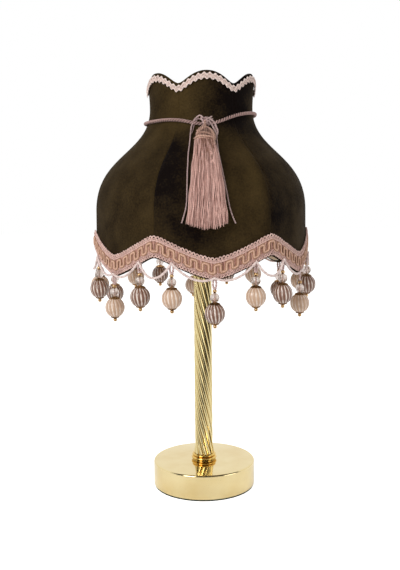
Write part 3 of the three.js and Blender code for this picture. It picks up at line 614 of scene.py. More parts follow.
@dataclass(frozen=True)
class Pile:
    """Short pile that catches light at its edges, such as velvet or felt."""

    name: str
    light: Colour
    dark: Colour
    sheen: float
    sheen_tint: Colour
    patches: float = 22.0
    with_nap_and_painted_light: bool = False

    def material(self, effects: Effects) -> Material:
        """Builds the finish."""
        made, wiring, shader = new_material(self.name)
        place = wiring.coordinates("Object")
        marks = wiring.group(effects.mottle, Vector=place, Patches=self.patches, Grain=420.0)
        patch_out, grain_out = marks.outputs["Patch"], marks.outputs["Grain"]
        tone = wiring.maths("ADD", wiring.maths("MULTIPLY", patch_out, 0.24), wiring.maths("MULTIPLY", grain_out, 0.5))
        # The panels' tint adds their painted sheen and shade to the colour.
        if self.with_nap_and_painted_light:
            tone = wiring.spread(wiring.maths("ADD", tone, wiring.tint()), 0.38, 1.35, 0, 1)
        else:
            tone = wiring.spread(tone, 0.1, 0.5, 0, 1)
        wiring.feed(
            shader,
            Base_Color=wiring.blend(tone, self.dark, self.light),
            Roughness=wiring.spread(patch_out, 0, 1, 0.95, 0.8),
            Specular_IOR_Level=0.1,
            Sheen_Weight=self.sheen,
            Sheen_Tint=(*self.sheen_tint, 1),
            Sheen_Roughness=0.3,
            Normal=wiring.bump(grain_out, 0.6, 0.0005),
        )
        return made


@dataclass(frozen=True)
class SwirlBead:
    """Glazed bead with lighter grooves that swirl round it, on its UV map."""

    name: str
    ridge: Colour
    groove: Colour
    flutes: int
    swirl: float

    def material(self, effects: Effects) -> Material:
        """Builds the finish."""
        made, wiring, shader = new_material(self.name)
        across, along = wiring.axes(wiring.coordinates("UV"))
        turned = wiring.maths("ADD", across, wiring.maths("MULTIPLY", along, self.swirl))
        wave = wiring.maths("COSINE", wiring.maths("MULTIPLY", turned, TURN * self.flutes))
        patches = wiring.noise(wiring.coordinates("Object"), 150.0)
        depth = wiring.spread(wave, -0.8, -0.1, 1.0, 0.0)
        tone = wiring.maths("MULTIPLY", depth, wiring.spread(patches, 0.38, 0.56, 0.35, 1.0))
        wiring.feed(
            shader,
            Base_Color=wiring.blend(tone, self.ridge, self.groove),
            Roughness=wiring.spread(patches, 0.3, 0.7, 0.28, 0.42),
            Coat_Weight=0.25,
            Normal=wiring.bump(patches, 0.06, 0.0005),
        )
        return made


@dataclass(frozen=True)
class ClearGlass:
    """Clear pressed glass with a faint tint."""

    name: str
    colour: Colour
    roughness: float = 0.02

    def material(self, effects: Effects) -> Material:
        """Builds the finish."""
        made, wiring, shader = new_material(self.name)
        ripples = wiring.noise(wiring.coordinates("Object"), 260.0)
        wiring.feed(
            shader,
            Base_Color=(*self.colour, 1),
            Roughness=self.roughness,
            IOR=1.5,
            Transmission_Weight=1.0,
            Normal=wiring.bump(ripples, 0.04, 0.0006),
        )
        return made


def new_material(name: str) -> tuple[Material, Wiring, Node]:
    """Starts a material and gives its wiring and its shader node."""
    made = bpy.data.materials.new(name)
    made.use_nodes = True
    return made, Wiring(made.node_tree), made.node_tree.nodes["Principled BSDF"]


class Finish(Enum):
    """Every finish of the lamp."""

    POLISHED_BRASS = Metal("polished_brass", srgb(234, 216, 166), srgb(226, 203, 147), 0.07, 0.03)
    # The stem's grooves colour is painted shade in its flutes.
    STEM_BRASS = Metal("stem_brass", srgb(240, 222, 164), srgb(226, 204, 142), 0.13, 0.05, grooves=srgb(196, 172, 118))
    COLLAR_BRASS = Metal("collar_brass", srgb(236, 204, 126), srgb(218, 180, 98), 0.10, 0.04)
    HOLDER_BRASS = Metal("holder_brass", srgb(205, 176, 110), srgb(172, 140, 80), 0.24, 0.10)
    BEAD_GOLD = Metal("bead_gold", srgb(236, 200, 150), srgb(206, 164, 112), 0.26, 0.12, 0.1)
    ANTIQUE_GOLD = Metal("antique_gold", srgb(190, 150, 102), srgb(104, 74, 44), 0.38, 0.16, 0.3)
    STEEL = Metal("zinc_steel", srgb(190, 190, 190), srgb(160, 160, 162), 0.30, 0.10)
    CAST_IRON = Coating("cast_iron", srgb(66, 66, 68), srgb(44, 44, 46), 0.75, 0.5, 500.0)
    BLACK_PLASTIC = Coating("black_plastic", srgb(30, 30, 30), srgb(22, 22, 22), 0.45, 0.12)
    PORCELAIN = Coating("porcelain", srgb(238, 234, 224), srgb(228, 222, 210), 0.25, 0.02, 400.0, 0.5)
    OPAL_GLASS = Coating("opal_glass", srgb(245, 242, 235), srgb(240, 236, 228), 0.18, 0.01, 300.0, 0.4)
    ENAMEL = Coating("white_enamel", srgb(222, 218, 210), srgb(206, 200, 190), 0.35, 0.05)
    FELT = Pile("green_felt", srgb(48, 60, 50), srgb(34, 44, 36), 0.3, (0.5, 0.6, 0.5), 60.0)
    # The velvet's dark end is reached in the panels' painted shade spots and its light end in their painted sheen.
    VELVET = Pile("velvet", srgb(80, 63, 32), srgb(13, 5, 3), 0.08, srgb(128, 104, 66), 34.0, True)
    LINING = Pile("lining_cloth", srgb(222, 202, 178), srgb(208, 186, 160), 0.1, (0.9, 0.85, 0.8), 30.0)
    BRAID_THREAD = Yarn("braid_thread", srgb(234, 188, 170), srgb(166, 114, 98))
    BRAID_ROSE = Yarn("braid_rose", srgb(204, 152, 134), srgb(138, 92, 76))
    BRAID_GOLD = Yarn("braid_gold", srgb(194, 150, 120), srgb(146, 104, 78))
    BRAID_CREAM = Yarn("braid_cream", srgb(234, 192, 168), srgb(182, 134, 110))
    BRAID_HEADING = Yarn("braid_heading", srgb(246, 210, 198), srgb(156, 110, 98))
    BRAID_BASE = Yarn("braid_base", srgb(170, 128, 112), srgb(128, 90, 78))
    GIMP = Yarn("gimp_pink", srgb(252, 232, 222), srgb(172, 138, 126))
    GIMP_BASE = Yarn("gimp_base", srgb(84, 58, 50), srgb(44, 28, 24))
    NECK_CORD = Yarn("neck_cord", srgb(196, 160, 152), srgb(66, 42, 40))
    TAIL_CORD = Yarn("tail_cord", srgb(228, 198, 192), srgb(122, 88, 88), 3.0, 0.003, 0.12, 0.5)
    SATIN_CORD = Yarn("satin_cord", srgb(244, 224, 216), srgb(180, 142, 138), 2.0, 0.003, 0.3, 0.35)
    TASSEL_SILK = Yarn("tassel_silk", srgb(246, 200, 186), srgb(138, 94, 84), 2.0, 0.003, 0.3, 0.5, 0.5, 420.0)
    TASSEL_BOUND = Yarn("tassel_bound", srgb(208, 166, 146), srgb(94, 62, 50), 2.0, 0.003, 0.2, 0.5, 0.5, 420.0)
    # Darker brown thread used for painted shade inside the tassel's skirt and under its head.
    TASSEL_PAINTED_SHADE = Yarn("tassel_painted_shade", srgb(158, 112, 92), srgb(92, 58, 46), 2.0, 0.003, 0.3, 0.5, 0.5, 420.0)
    CREAM_BEAD = SwirlBead("cream_bead", srgb(202, 166, 138), srgb(240, 222, 206), 15, -0.07)
    TAUPE_BEAD = SwirlBead("taupe_bead", srgb(128, 90, 72), srgb(240, 224, 212), 15, -0.07)
    GLASS = ClearGlass("clear_glass", srgb(232, 218, 210), 0.34)


class Finishes:
    """Builds each finish when it is first asked for."""

    def __init__(self) -> None:
        """Starts with no materials."""
        self.effects = Effects()
        self.made: dict[Finish, Material] = {}

    def __getitem__(self, finish: Finish) -> Material:
        """The material of a finish."""
        if finish not in self.made:
            self.made[finish] = finish.value.material(self.effects)
        return self.made[finish]


@dataclass(frozen=True)
class Studio:
    """Camera at the photograph's angle, soft lamps, a white room and a pale floor."""

    distance: float = 1.150
    camera_turn: float = -6.0
    camera_height: float = 0.4430
    pitch: float = 7.3
    aside: float = 0.19
    roll: float = 0.5
    lens: float = 50.8
    sensor: float = 36.0
    lamps_aim: float = 0.3
    floor_size: float = 12.0
    floor_seen: float = 0.72
    floor_mirrored: float = 0.3
    room_light: float = 0.42
    dark_radius: float = 2.3
    dark_foot: float = 0.75
    dark_top: float = 2.6
    wall_turn: float = 1.45
    ceiling_turn: float = 2.2
    carpet_near: float = 0.28
    carpet_left: float = -1.15
    carpet_right: float = 0.70
    carpet_height: float = 0.002

    def camera(self) -> None:
        """Adds the camera."""
        data = bpy.data.cameras.new("camera")
        data.lens, data.sensor_width = self.lens, self.sensor
        made = add_object("camera", data)
        made.location = around(self.distance, math.radians(self.camera_turn), self.camera_height)
        turn = Matrix.Rotation(math.radians(self.camera_turn + self.aside), 3, "Z")
        tilt = Matrix.Rotation(math.radians(90 - self.pitch), 3, "X")
        lean = Matrix.Rotation(math.radians(-self.roll), 3, "Z")
        made.rotation_euler = (turn @ tilt @ lean).to_euler()
        bpy.context.scene.camera = made

    def room(self) -> None:
        """Makes the room white to the camera and to metal and glass, and dim as a light."""
        world = bpy.data.worlds.new("room")
        world.use_nodes = True
        bpy.context.scene.world = world
        wiring = Wiring(world.node_tree)
        rays = wiring.node("ShaderNodeLightPath").outputs
        bent = wiring.maths("MAXIMUM", rays["Is Glossy Ray"], rays["Is Transmission Ray"])
        seen = wiring.maths("MAXIMUM", rays["Is Camera Ray"], bent)
        strength = wiring.spread(seen, 0, 1, self.room_light, 1.0)
        wiring.feed(world.node_tree.nodes["Background"], Color=(1, 1, 1, 1), Strength=strength)

    def lamp(
        self, name: str, place: tuple[float, float, float], size: float, watts: float, mirrored: bool = True
    ) -> None:
        """Adds a square soft lamp that looks at the middle of the table lamp."""
        data = bpy.data.lights.new(name, "AREA")
        data.size, data.energy = size, watts
        made = add_object(name, data)
        made.location = place
        made.rotation_euler = (Vector((0, 0, self.lamps_aim)) - Vector(place)).to_track_quat("-Z", "Y").to_euler()
        made.visible_glossy = mirrored

    def floor(self) -> None:
        """Adds a pale floor that shows white to the camera and keeps the lamp's shadow."""
        bm = bmesh.new()
        bmesh.ops.create_grid(bm, x_segments=1, y_segments=1, size=self.floor_size / 2)
        material, wiring, shader = new_material("pale_floor")
        grain = wiring.noise(wiring.coordinates("Object"), 30.0)
        rays = wiring.node("ShaderNodeLightPath").outputs
        glossy = wiring.maths("MULTIPLY", rays["Is Glossy Ray"], self.floor_mirrored)
        seen = wiring.maths("MULTIPLY", rays["Is Camera Ray"], self.floor_seen)
        wiring.feed(
            shader,
            Base_Color=wiring.blend(grain, (0.86, 0.86, 0.86), (0.9, 0.9, 0.9)),
            Roughness=0.8,
            Specular_IOR_Level=0.1,
            Emission_Color=(1, 1, 1, 1),
            Emission_Strength=wiring.maths("MAXIMUM", seen, glossy),
        )
        made = add_mesh("floor", bm, material)

    def dark_side(self) -> None:
        """Adds the dim wall, ceiling and carpet of the room's near side, which only polished metal mirrors."""
        bm = bmesh.new()

        def wall(u: float, v: float) -> Vector:
            turn = mix(-self.wall_turn, self.wall_turn, u)
            return around(self.dark_radius, turn, mix(self.dark_foot, self.dark_top, v))

        def ceiling(u: float, v: float) -> Vector:
            turn = mix(-self.ceiling_turn, self.ceiling_turn, u)
            return around(self.dark_radius * max(v, 0.001), turn, self.dark_top)

        def carpet(u: float, v: float) -> Vector:
            turn = mix(self.carpet_left, self.carpet_right, u)
            return around(mix(self.carpet_near, self.dark_radius, v), turn, self.carpet_height)

        for rows, place in ((2, wall), (4, ceiling), (4, carpet)):
            patch(bm, 24, rows, place)
        material, wiring, shader = new_material("dark_cloth")
        grain = wiring.noise(wiring.coordinates("Object"), 12.0)
        wiring.feed(shader, Base_Color=wiring.blend(grain, (0.02, 0.02, 0.02), (0.05, 0.05, 0.05)), Roughness=1.0)
        made = add_mesh("dark_side", bm, material)
        made.visible_camera = made.visible_diffuse = made.visible_transmission = made.visible_shadow = False

    def build(self) -> None:
        """Adds everything that isn't part of the lamp."""
        self.camera()
        self.room()
        self.lamp("key", (-1.3, -1.5, 1.3), size=1.0, watts=25.0)
        self.lamp("fill", (1.6, -1.2, 0.7), size=1.0, watts=6.0)
        self.lamp("back", (0.3, 1.8, 1.6), size=1.2, watts=14.0, mirrored=False)
        self.floor()
        self.dark_side()
        bpy.context.scene.view_settings.view_transform = "Standard"


@dataclass(frozen=True)
class ShadeForm:
    """The outer face of the velvet, with the same sizes as the part."""

    hem_low: float
    belly_radius: float = 0.150
    rim_flare: float = 0.001
    belly_height: float = 0.083
    shoulder_handle: float = 0.080
    neck_radius: float = 0.0718
    neck_height: float = 0.225
    neck_handle: float = 0.061
    top_radius: float = 0.074
    height: float = 0.269
    panels: int = 6
    flatness: float = 0.37
    hem_scallop: float = 0.0315
    hem_sharpness: float = 1.35
    hem_ease: float = 0.07
    top_scallop: float = 0.0245
    top_sharpness: float = 2.0
    top_ease: float = 0.20

    @property
    def panel_angle(self) -> float:
        """Angle of one panel."""
        return TURN / self.panels

    @cached_property
    def shoulder(self) -> list[tuple[float, float]]:
        """Height and radius along the curve from belly to neck."""
        low, high = self.belly_height, self.neck_height
        heights = (low, low + self.shoulder_handle, high - self.neck_handle, high)
        radii = (self.belly_radius, self.belly_radius, self.neck_radius, self.neck_radius)
        steps = 600
        curve = []
        for i in range(steps + 1):
            t = i / steps
            parts = ((1 - t) ** 3, 3 * (1 - t) ** 2 * t, 3 * (1 - t) * t * t, t**3)
            curve.append(tuple(sum(p * v for p, v in zip(parts, values)) for values in (heights, radii)))
        return curve

    def outline(self, rise: float) -> float:
        """Radius over a rib at a height above the hem's lowest point."""
        if rise <= self.belly_height:
            share = min(1.0, max(0.0, rise / self.belly_height))
            return mix(self.belly_radius + self.rim_flare, self.belly_radius, share)
        if rise >= self.neck_height:
            return mix(self.neck_radius, self.top_radius, smooth(rise, self.neck_height, self.height))
        i = max(1, bisect_left(self.shoulder, (rise, 0.0)))
        (z0, r0), (z1, r1) = self.shoulder[i - 1], self.shoulder[i]
        return mix(r0, r1, (rise - z0) / (z1 - z0))

    def from_middle(self, angle: float) -> float:
        """Angle from the middle of the nearest panel."""
        return angle - round(angle / self.panel_angle) * self.panel_angle

    def rib_share(self, angle: float) -> float:
        """Share of the way from a panel's middle to its rib."""
        return abs(self.from_middle(angle)) / (self.panel_angle / 2)

    def eased(self, angle: float, ease: float) -> float:
        """The same share with its point at the rib rounded off."""
        return max(0.0, 1 - math.hypot(1 - self.rib_share(angle), ease))

    def radius(self, angle: float, z: float) -> float:
        """Radius of the velvet at an angle and a height."""
        rise = z - self.hem_low
        flat = math.cos(self.panel_angle / 2) / math.cos(self.from_middle(angle))
        share = self.flatness * (1 - smooth(rise, self.belly_height, self.neck_height))
        return self.outline(rise) * (1 - share * (1 - flat))

    def normal(self, angle: float, z: float) -> Vector:
        """Direction square to the velvet, outwards."""
        turn, rise = 0.002, 0.0005
        side = around(self.radius(angle + turn, z), angle + turn, z)
        side -= around(self.radius(angle - turn, z), angle - turn, z)
        up = around(self.radius(angle, z + rise), angle, z + rise)
        up -= around(self.radius(angle, z - rise), angle, z - rise)
        return side.cross(up).normalized()

    def point(self, angle: float, z: float, outside: float = 0.0) -> Vector:
        """Point at a distance outside the velvet."""
        return around(self.radius(angle, z), angle, z) + self.normal(angle, z) * outside

    def hem(self, angle: float) -> float:
        """Height of the velvet's lower edge."""
        return self.hem_low + self.hem_scallop * self.eased(angle, self.hem_ease) ** self.hem_sharpness

    def top(self, angle: float) -> float:
        """Height of the velvet's upper edge."""
        drop = self.top_scallop * self.eased(angle, self.top_ease) ** self.top_sharpness
        return self.hem_low + self.height - drop


class Ribbon:
    """A strip round the shade, measured along its lower edge and upwards from it."""

    def __init__(self, form: ShadeForm, foot: Callable[[float], float], middle: float) -> None:
        """Measures the strip.

        Args:
            form: the velvet.
            foot: height of the strip's lower edge at an angle.
            middle: height above that edge at which its length is measured.
        """
        self.form, self.foot = form, foot
        steps = 1440
        self.angles = [TURN * i / steps for i in range(steps + 1)]
        line = [form.point(angle, foot(angle) + middle) for angle in self.angles]
        self.lengths = [0.0]
        for a, b in zip(line, line[1:]):
            self.lengths.append(self.lengths[-1] + (b - a).length)
        self.length = self.lengths[-1]

    def angle(self, along: float) -> float:
        """Angle at a distance along the strip."""
        laps, rest = divmod(along, self.length)
        i = min(max(bisect_left(self.lengths, rest), 1), len(self.angles) - 1)
        share = (rest - self.lengths[i - 1]) / (self.lengths[i] - self.lengths[i - 1])
        return mix(self.angles[i - 1], self.angles[i], share) + laps * TURN

    def place(self, along: float, up: float, outside: float) -> Vector:
        """Point at a distance along, up and outside."""
        angle = self.angle(along)
        return self.form.point(angle, self.foot(angle) + up, outside)

    def strand(
        self,
        bm: BMesh,
        flat_points: FlatPath,
        outside: float,
        radius: float,
        closed: bool,
        sides: int = 6,
        flat: float = 1.0,
        tint: float = 0.5,
    ) -> None:
        """Adds a strand that follows points given along and up the strip."""
        points = [self.place(along, up, outside) for along, up in flat_points]
        ups = None
        if flat != 1.0:
            ups = [self.form.normal(self.angle(s), self.foot(self.angle(s)) + h) for s, h in flat_points]
        tube(bm, points, radius, sides, closed, flat, ups, tint)

    def band(self, bm: BMesh, low: float, high: float, back: float, front: float, rows: int = 4) -> None:
        """Adds a thin woven band between two heights."""
        columns = 720
        place = [(mix(low, high, i / rows), front) for i in range(rows + 1)]
        place += [(mix(high, low, i / rows), back) for i in range(rows + 1)]
        count = len(place)

        def put(u: float, v: float) -> Vector:
            up, outside = place[round(v * count) % count]
            return self.place(self.length * (round(u * columns) % columns) / columns, up, outside)

        weld(bm, patch(bm, columns, count, put, (self.length, high - low)))


def shifted(points: FlatPath, distance: float, length: float) -> list[tuple[float, float]]:
    """A closed flat path moved sideways.

    Args:
        points: the path, whose first number grows by length in one round.
        distance: how far to its left it moves.
        length: length of one round.

    Returns:
        The moved path.
    """
    count = len(points)
    moved = []
    for i, (x, y) in enumerate(points):
        bx, by = points[i - 1] if i else (points[-1][0] - length, points[-1][1])
        ax, ay = points[i + 1] if i < count - 1 else (points[0][0] + length, points[0][1])
        run = math.hypot(ax - bx, ay - by)
        moved.append((x - (ay - by) / run * distance, y + (ax - bx) / run * distance))
    return moved


@dataclass(frozen=True)
class VelvetCover:
    """Six sewn panels, the lining and the wire frame under them.

    Each panel is painted lighter and darker in soft spots, painted sheen and shade that also stand for the pile's
    uneven lie: share across, share up, widths and amount.
    """

    form: ShadeForm
    thickness: float = 0.0012
    columns: int = 44
    rows: int = 110
    columns_crowd: float = 0.85
    seam_width: float = 0.004
    seam_depth: float = 0.0008
    seam_fade: float = 0.75
    wire: float = 0.0015
    wire_centre: float = -0.0030
    wire_inset: float = 0.005
    lining_front: float = -0.0057
    lining_thickness: float = 0.0008
    lining_hem_inset: float = 0.004
    lining_neck_inset: float = 0.007
    gathers: int = 90
    gather_depth: float = 0.0003
    nap_and_painted_light_middle: float = 0.40
    nap_and_painted_light: tuple[tuple[tuple[float, float, float, float, float], ...], ...] = (
        (
            (0.08, 0.44, 0.30, 0.26, -0.44),
            (0.00, 0.66, 0.14, 0.14, -0.16),
            (0.35, 0.20, 0.25, 0.07, -0.22),
            (0.92, 0.48, 0.12, 0.24, 0.20),
            (0.66, 0.36, 0.14, 0.16, 0.08),
            (0.28, 0.88, 0.22, 0.10, 0.22),
            (0.80, 0.86, 0.26, 0.13, -0.38),
            (0.98, 0.36, 0.07, 0.20, -0.25),
            (0.55, 0.08, 0.40, 0.05, -0.10),
        ),
        (
            (0.10, 0.30, 0.30, 0.30, -0.30),
            (0.45, 0.50, 0.25, 0.25, -0.02),
            (0.95, 0.45, 0.35, 0.50, -0.30),
            (0.30, 0.85, 0.50, 0.12, -0.34),
        ),
        (
            (0.30, 0.40, 0.30, 0.25, 0.12),
            (0.80, 0.55, 0.25, 0.30, -0.20),
        ),
        (
            (0.60, 0.35, 0.35, 0.25, 0.10),
            (0.10, 0.60, 0.20, 0.30, -0.22),
        ),
        (
            (0.25, 0.45, 0.25, 0.25, -0.22),
            (0.70, 0.40, 0.25, 0.25, 0.15),
        ),
        (
            (0.60, 0.30, 0.40, 0.30, -0.06),
            (0.60, 0.72, 0.35, 0.16, 0.16),
            (0.00, 0.30, 0.12, 0.40, -0.15),
            (0.85, 0.20, 0.25, 0.10, 0.06),
        ),
    )
    # Round the neck the painted light and shade go by angle, lighter on the left and darker on the right: middle angle,
    # width and amount.
    neck_nap_and_painted_light: tuple[tuple[float, float, float], ...] = ((-0.50, 0.34, 0.22), (0.58, 0.54, -0.44), (2.4, 0.5, 0.1))

    def nap_and_painted_light_at(self, index: int, u: float, v: float) -> float:
        """How light a place on a panel is painted, as sheen and shade of the pile."""
        tone = neck = self.nap_and_painted_light_middle
        for across, up, wide, high, amount in self.nap_and_painted_light[index]:
            tone += amount * math.exp(-(((u - across) / wide) ** 2) - ((v - up) / high) ** 2)
        turned = math.remainder((index + u - 0.5) * self.form.panel_angle, TURN)
        for middle, wide, amount in self.neck_nap_and_painted_light:
            neck += amount * math.exp(-(((turned - middle) / wide) ** 2))
        return mix(tone, neck, smooth(v, 0.64, 0.80))

    def panel(self, index: int, finishes: Finishes) -> None:
        """Adds one panel, drawn in along its seams."""
        form = self.form
        middle = index * form.panel_angle

        def place(u: float, v: float) -> Vector:
            share = 2 * u - 1
            share = math.copysign(abs(share) ** self.columns_crowd, share)
            angle = middle + share * form.panel_angle / 2
            z = mix(form.hem(angle), form.top(angle), v)
            from_seam = (form.panel_angle / 2 - abs(angle - middle)) * form.radius(angle, z)
            dip = self.seam_depth * (1 - smooth(from_seam, 0, self.seam_width)) ** 2
            return form.point(angle, z, -dip * (1 - self.seam_fade * smooth(v, 0.55, 0.75)))

        bm = bmesh.new()
        verts = patch(bm, self.columns, self.rows, place, (0.157, 0.30))
        tints = bm.verts.layers.float.get("tint")
        for i, vert in enumerate(verts):
            v, u = divmod(i, self.columns + 1)
            # Each point's tint is its painted sheen and shade.
            vert[tints] = self.nap_and_painted_light_at(index, u / self.columns, v / self.rows)
        area = sum(face.calc_area() for face in bm.faces)
        piece = Piece(f"velvet_{index + 1}", "shade", "velvet", (f"velvet_panel_{index + 1}",))
        made = finish_piece(bm, piece, finishes[Finish.VELVET], shell=False)
        wall = made.modifiers.new("cloth", "SOLIDIFY")
        wall.thickness, wall.offset = self.thickness, -1.0

    def lining(self, finishes: Finishes) -> None:
        """Adds the lining as one sheet all round."""
        form = self.form
        top = form.hem_low + form.neck_height - self.lining_neck_inset

        def place(u: float, v: float) -> Vector:
            angle = TURN * u
            z = mix(form.hem(angle) + self.lining_hem_inset, top, v)
            gather = self.gather_depth * math.sin(angle * self.gathers) * (0.4 + v)
            return form.point(angle, z, self.lining_front - abs(gather))

        bm = bmesh.new()
        weld(bm, patch(bm, 540, 40, place, (0.9, 0.25)))
        area = sum(face.calc_area() for face in bm.faces)
        piece = Piece("shade_lining", "shade", "lining_cloth", ("lining",))
        made = finish_piece(bm, piece, finishes[Finish.LINING], shell=False)
        wall = made.modifiers.new("cloth", "SOLIDIFY")
        wall.thickness, wall.offset = self.lining_thickness, -1.0

    def frame(self, finishes: Finishes) -> None:
        """Adds the wire rings and ribs."""
        form = self.form
        bm = bmesh.new()

        def low(angle: float) -> float:
            return form.hem(angle) + self.wire_inset

        def high(angle: float) -> float:
            return form.top(angle) - self.wire_inset

        neck = form.hem_low + form.neck_height
        for height in (low, high, lambda angle: neck):
            ring = [form.point(a, height(a), self.wire_centre) for a in (TURN * i / 240 for i in range(240))]
            tube(bm, ring, self.wire, 8, closed=True)
        for index in range(form.panels):
            angle = (index + 0.5) * form.panel_angle
            heights = [mix(low(angle), high(angle), i / 40) for i in range(41)]
            tube(bm, [form.point(angle, z, self.wire_centre) for z in heights], self.wire, 8)
        finish_piece(bm, Piece("shade_wires", "shade", "frame_enamel", ("wire_frame",)), finishes[Finish.ENAMEL])

    def build(self, finishes: Finishes) -> None:
        """Adds the cover, the lining and the frame."""
        for index in range(self.form.panels):
            self.panel(index, finishes)
        self.lining(finishes)
        self.frame(finishes)


@dataclass(frozen=True)
class HemBraid:
    """Wide braid: gathered threads between two headings, a serpentine cord and picot loops."""

    form: ShadeForm
    width: float = 0.026
    hem_showing: float = 0.002
    back: float = 0.0005
    band_low: float = 0.0018
    band_inset: float = 0.0028
    band_front: float = 0.0013
    threads: int = 460
    thread_radius: float = 0.00098
    thread_lean: float = 0.0004
    field_low: float = 0.0042
    field_high: float = 0.0204
    picots: int = 200
    picot_foot: float = 0.0232
    picot_rise: float = 0.0036
    picot_radius: float = 0.00088
    lower_picots: int = 236
    lower_picot_foot: float = 0.0024
    lower_picot_rise: float = 0.0024
    lower_picot_radius: float = 0.00078
    picots_outside: float = 0.0016
    rings: int = 260
    rings_up: float = 0.0056
    ring_wide: float = 0.0013
    ring_high: float = 0.0014
    ring_radius: float = 0.0005
    rings_outside: float = 0.0012
    edges_outside: float = 0.0017
    core_outside: float = 0.0019
    headings: tuple[tuple[float, float, float], ...] = (
        (0.0036, 0.0010, 0.35),
        (0.0208, 0.0010, 0.8),
        (0.0229, 0.0011, 0.5),
    )
    waves: int = 64
    wave_height: float = 0.0052
    wave_rise: float = 0.0003
    wave_square: float = 1.8
    wave_lean: float = 0.08
    wave_spacing: float = 0.0014
    cord_radius: float = 0.00082
    heading_pitch: float = 0.0042

    def foot(self, angle: float) -> float:
        """Height of the braid's lower edge."""
        return self.form.hem(angle) + self.hem_showing

    def loops(self, strip: Ribbon, count: int, base: float, rise: float, radius: float) -> BMesh:
        """Row of picot loops that stand up from, or hang from, a height."""
        bm = bmesh.new()
        pitch = strip.length / count
        rng = random.Random(count)
        for i in range(count):
            points = []
            high = rise * rng.uniform(0.88, 1.1)
            for k in range(8):
                turn = math.pi * (k / 7 * 1.3 - 0.15)
                wide = pitch * 0.37 * (1 + 0.2 * math.sin(turn))
                points.append((pitch * (i + 0.5) - wide * math.cos(turn), base + high * math.sin(turn)))
            strip.strand(bm, points, self.picots_outside, radius, False, 6, tint=rng.uniform(0.5, 1.0))
        return bm

    def wave(self, strip: Ribbon) -> list[tuple[float, float]]:
        """Path of the serpentine cord."""
        steps = 22
        pitch = strip.length / self.waves
        middle = (self.field_low + self.field_high) / 2 + self.wave_rise
        points = []
        for i in range(self.waves * steps):
            turn = TURN * i / steps
            along = pitch * (i / steps) - pitch * self.wave_lean * math.sin(2 * turn)
            swing = math.tanh(self.wave_square * math.sin(turn)) / math.tanh(self.wave_square)
            points.append((along, middle + self.wave_height * swing))
        return points

    def heading(self, strip: Ribbon, bm: BMesh, up: float, radius: float, tint: float) -> None:
        """Twisted two-strand cord along the braid."""
        steps = 1300
        line = [strip.place(strip.length * i / steps, up, self.band_front + radius * 0.8) for i in range(steps)]
        for i, path in enumerate(plies(line, 2, radius * 0.52, self.heading_pitch, closed=True)):
            tube(bm, path, radius * 0.6, 5, closed=True, tint=tint + 0.2 * i)

    def build(self, finishes: Finishes) -> None:
        """Adds the braid."""
        strip = Ribbon(self.form, self.foot, self.width / 2)

        def finish(bm: BMesh, name: str, look: Finish, nodes: tuple[str, ...] = ()) -> None:
            finish_piece(bm, Piece(f"braid_{name}", "shade", "pink_braid", nodes), finishes[look])

        bm = bmesh.new()
        strip.band(bm, self.band_low, self.width - self.band_inset, self.back, self.band_front)
        finish(bm, "band", Finish.BRAID_BASE, ("bottom_braid",))
        rng = random.Random(11)
        for name, look, first, raised in (
            ("light", Finish.BRAID_THREAD, 0, 0.0006),
            ("rose", Finish.BRAID_ROSE, 1, 0.0001),
        ):
            bm = bmesh.new()
            for i in range(first, self.threads, 2):
                along = strip.length * (i + rng.uniform(-0.15, 0.15)) / self.threads
                lean = rng.uniform(-self.thread_lean, self.thread_lean)
                points = [
                    (along + lean * math.sin(k * 1.3), mix(self.field_low, self.field_high, k / 5)) for k in range(6)
                ]
                tint = rng.uniform(0.2, 0.9)
                strip.strand(bm, points, self.band_front + raised, self.thread_radius, False, 6, 0.7, tint)
            finish(bm, f"threads_{name}", look)
        wave = self.wave(strip)
        bm = bmesh.new()
        for side in (-1, 1):
            path = shifted(wave, side * self.wave_spacing, strip.length)
            strip.strand(bm, path, self.band_front + self.edges_outside, self.cord_radius * 0.9, True, 6, tint=0.6)
        finish(bm, "serpentine_edges", Finish.BRAID_GOLD)
        bm = bmesh.new()
        strip.strand(bm, wave, self.band_front + self.core_outside, self.cord_radius * 1.1, True, 8, tint=0.8)
        finish(bm, "serpentine_core", Finish.BRAID_CREAM)
        bm = bmesh.new()
        for up, radius, tint in self.headings:
            self.heading(strip, bm, up, radius, tint)
        finish(bm, "headings", Finish.BRAID_HEADING)
        bm = self.loops(strip, self.picots, self.picot_foot, self.picot_rise, self.picot_radius)
        finish(bm, "picots", Finish.BRAID_HEADING)
        hang = -self.lower_picot_rise
        bm = self.loops(strip, self.lower_picots, self.lower_picot_foot, hang, self.lower_picot_radius)
        finish(bm, "lower_picots", Finish.BRAID_HEADING)
        bm = bmesh.new()
        pitch = strip.length / self.rings
        turns = [TURN * k / 8 for k in range(8)]
        for i in range(self.rings):
            ring = [
                (pitch * i + self.ring_wide * math.cos(turn), self.rings_up + self.ring_high * math.sin(turn))
                for turn in turns
            ]
            outside = self.band_front + self.rings_outside
            strip.strand(bm, ring, outside, self.ring_radius, True, 5, tint=rng.uniform(0.4, 1.0))
        finish(bm, "rings", Finish.BRAID_HEADING)


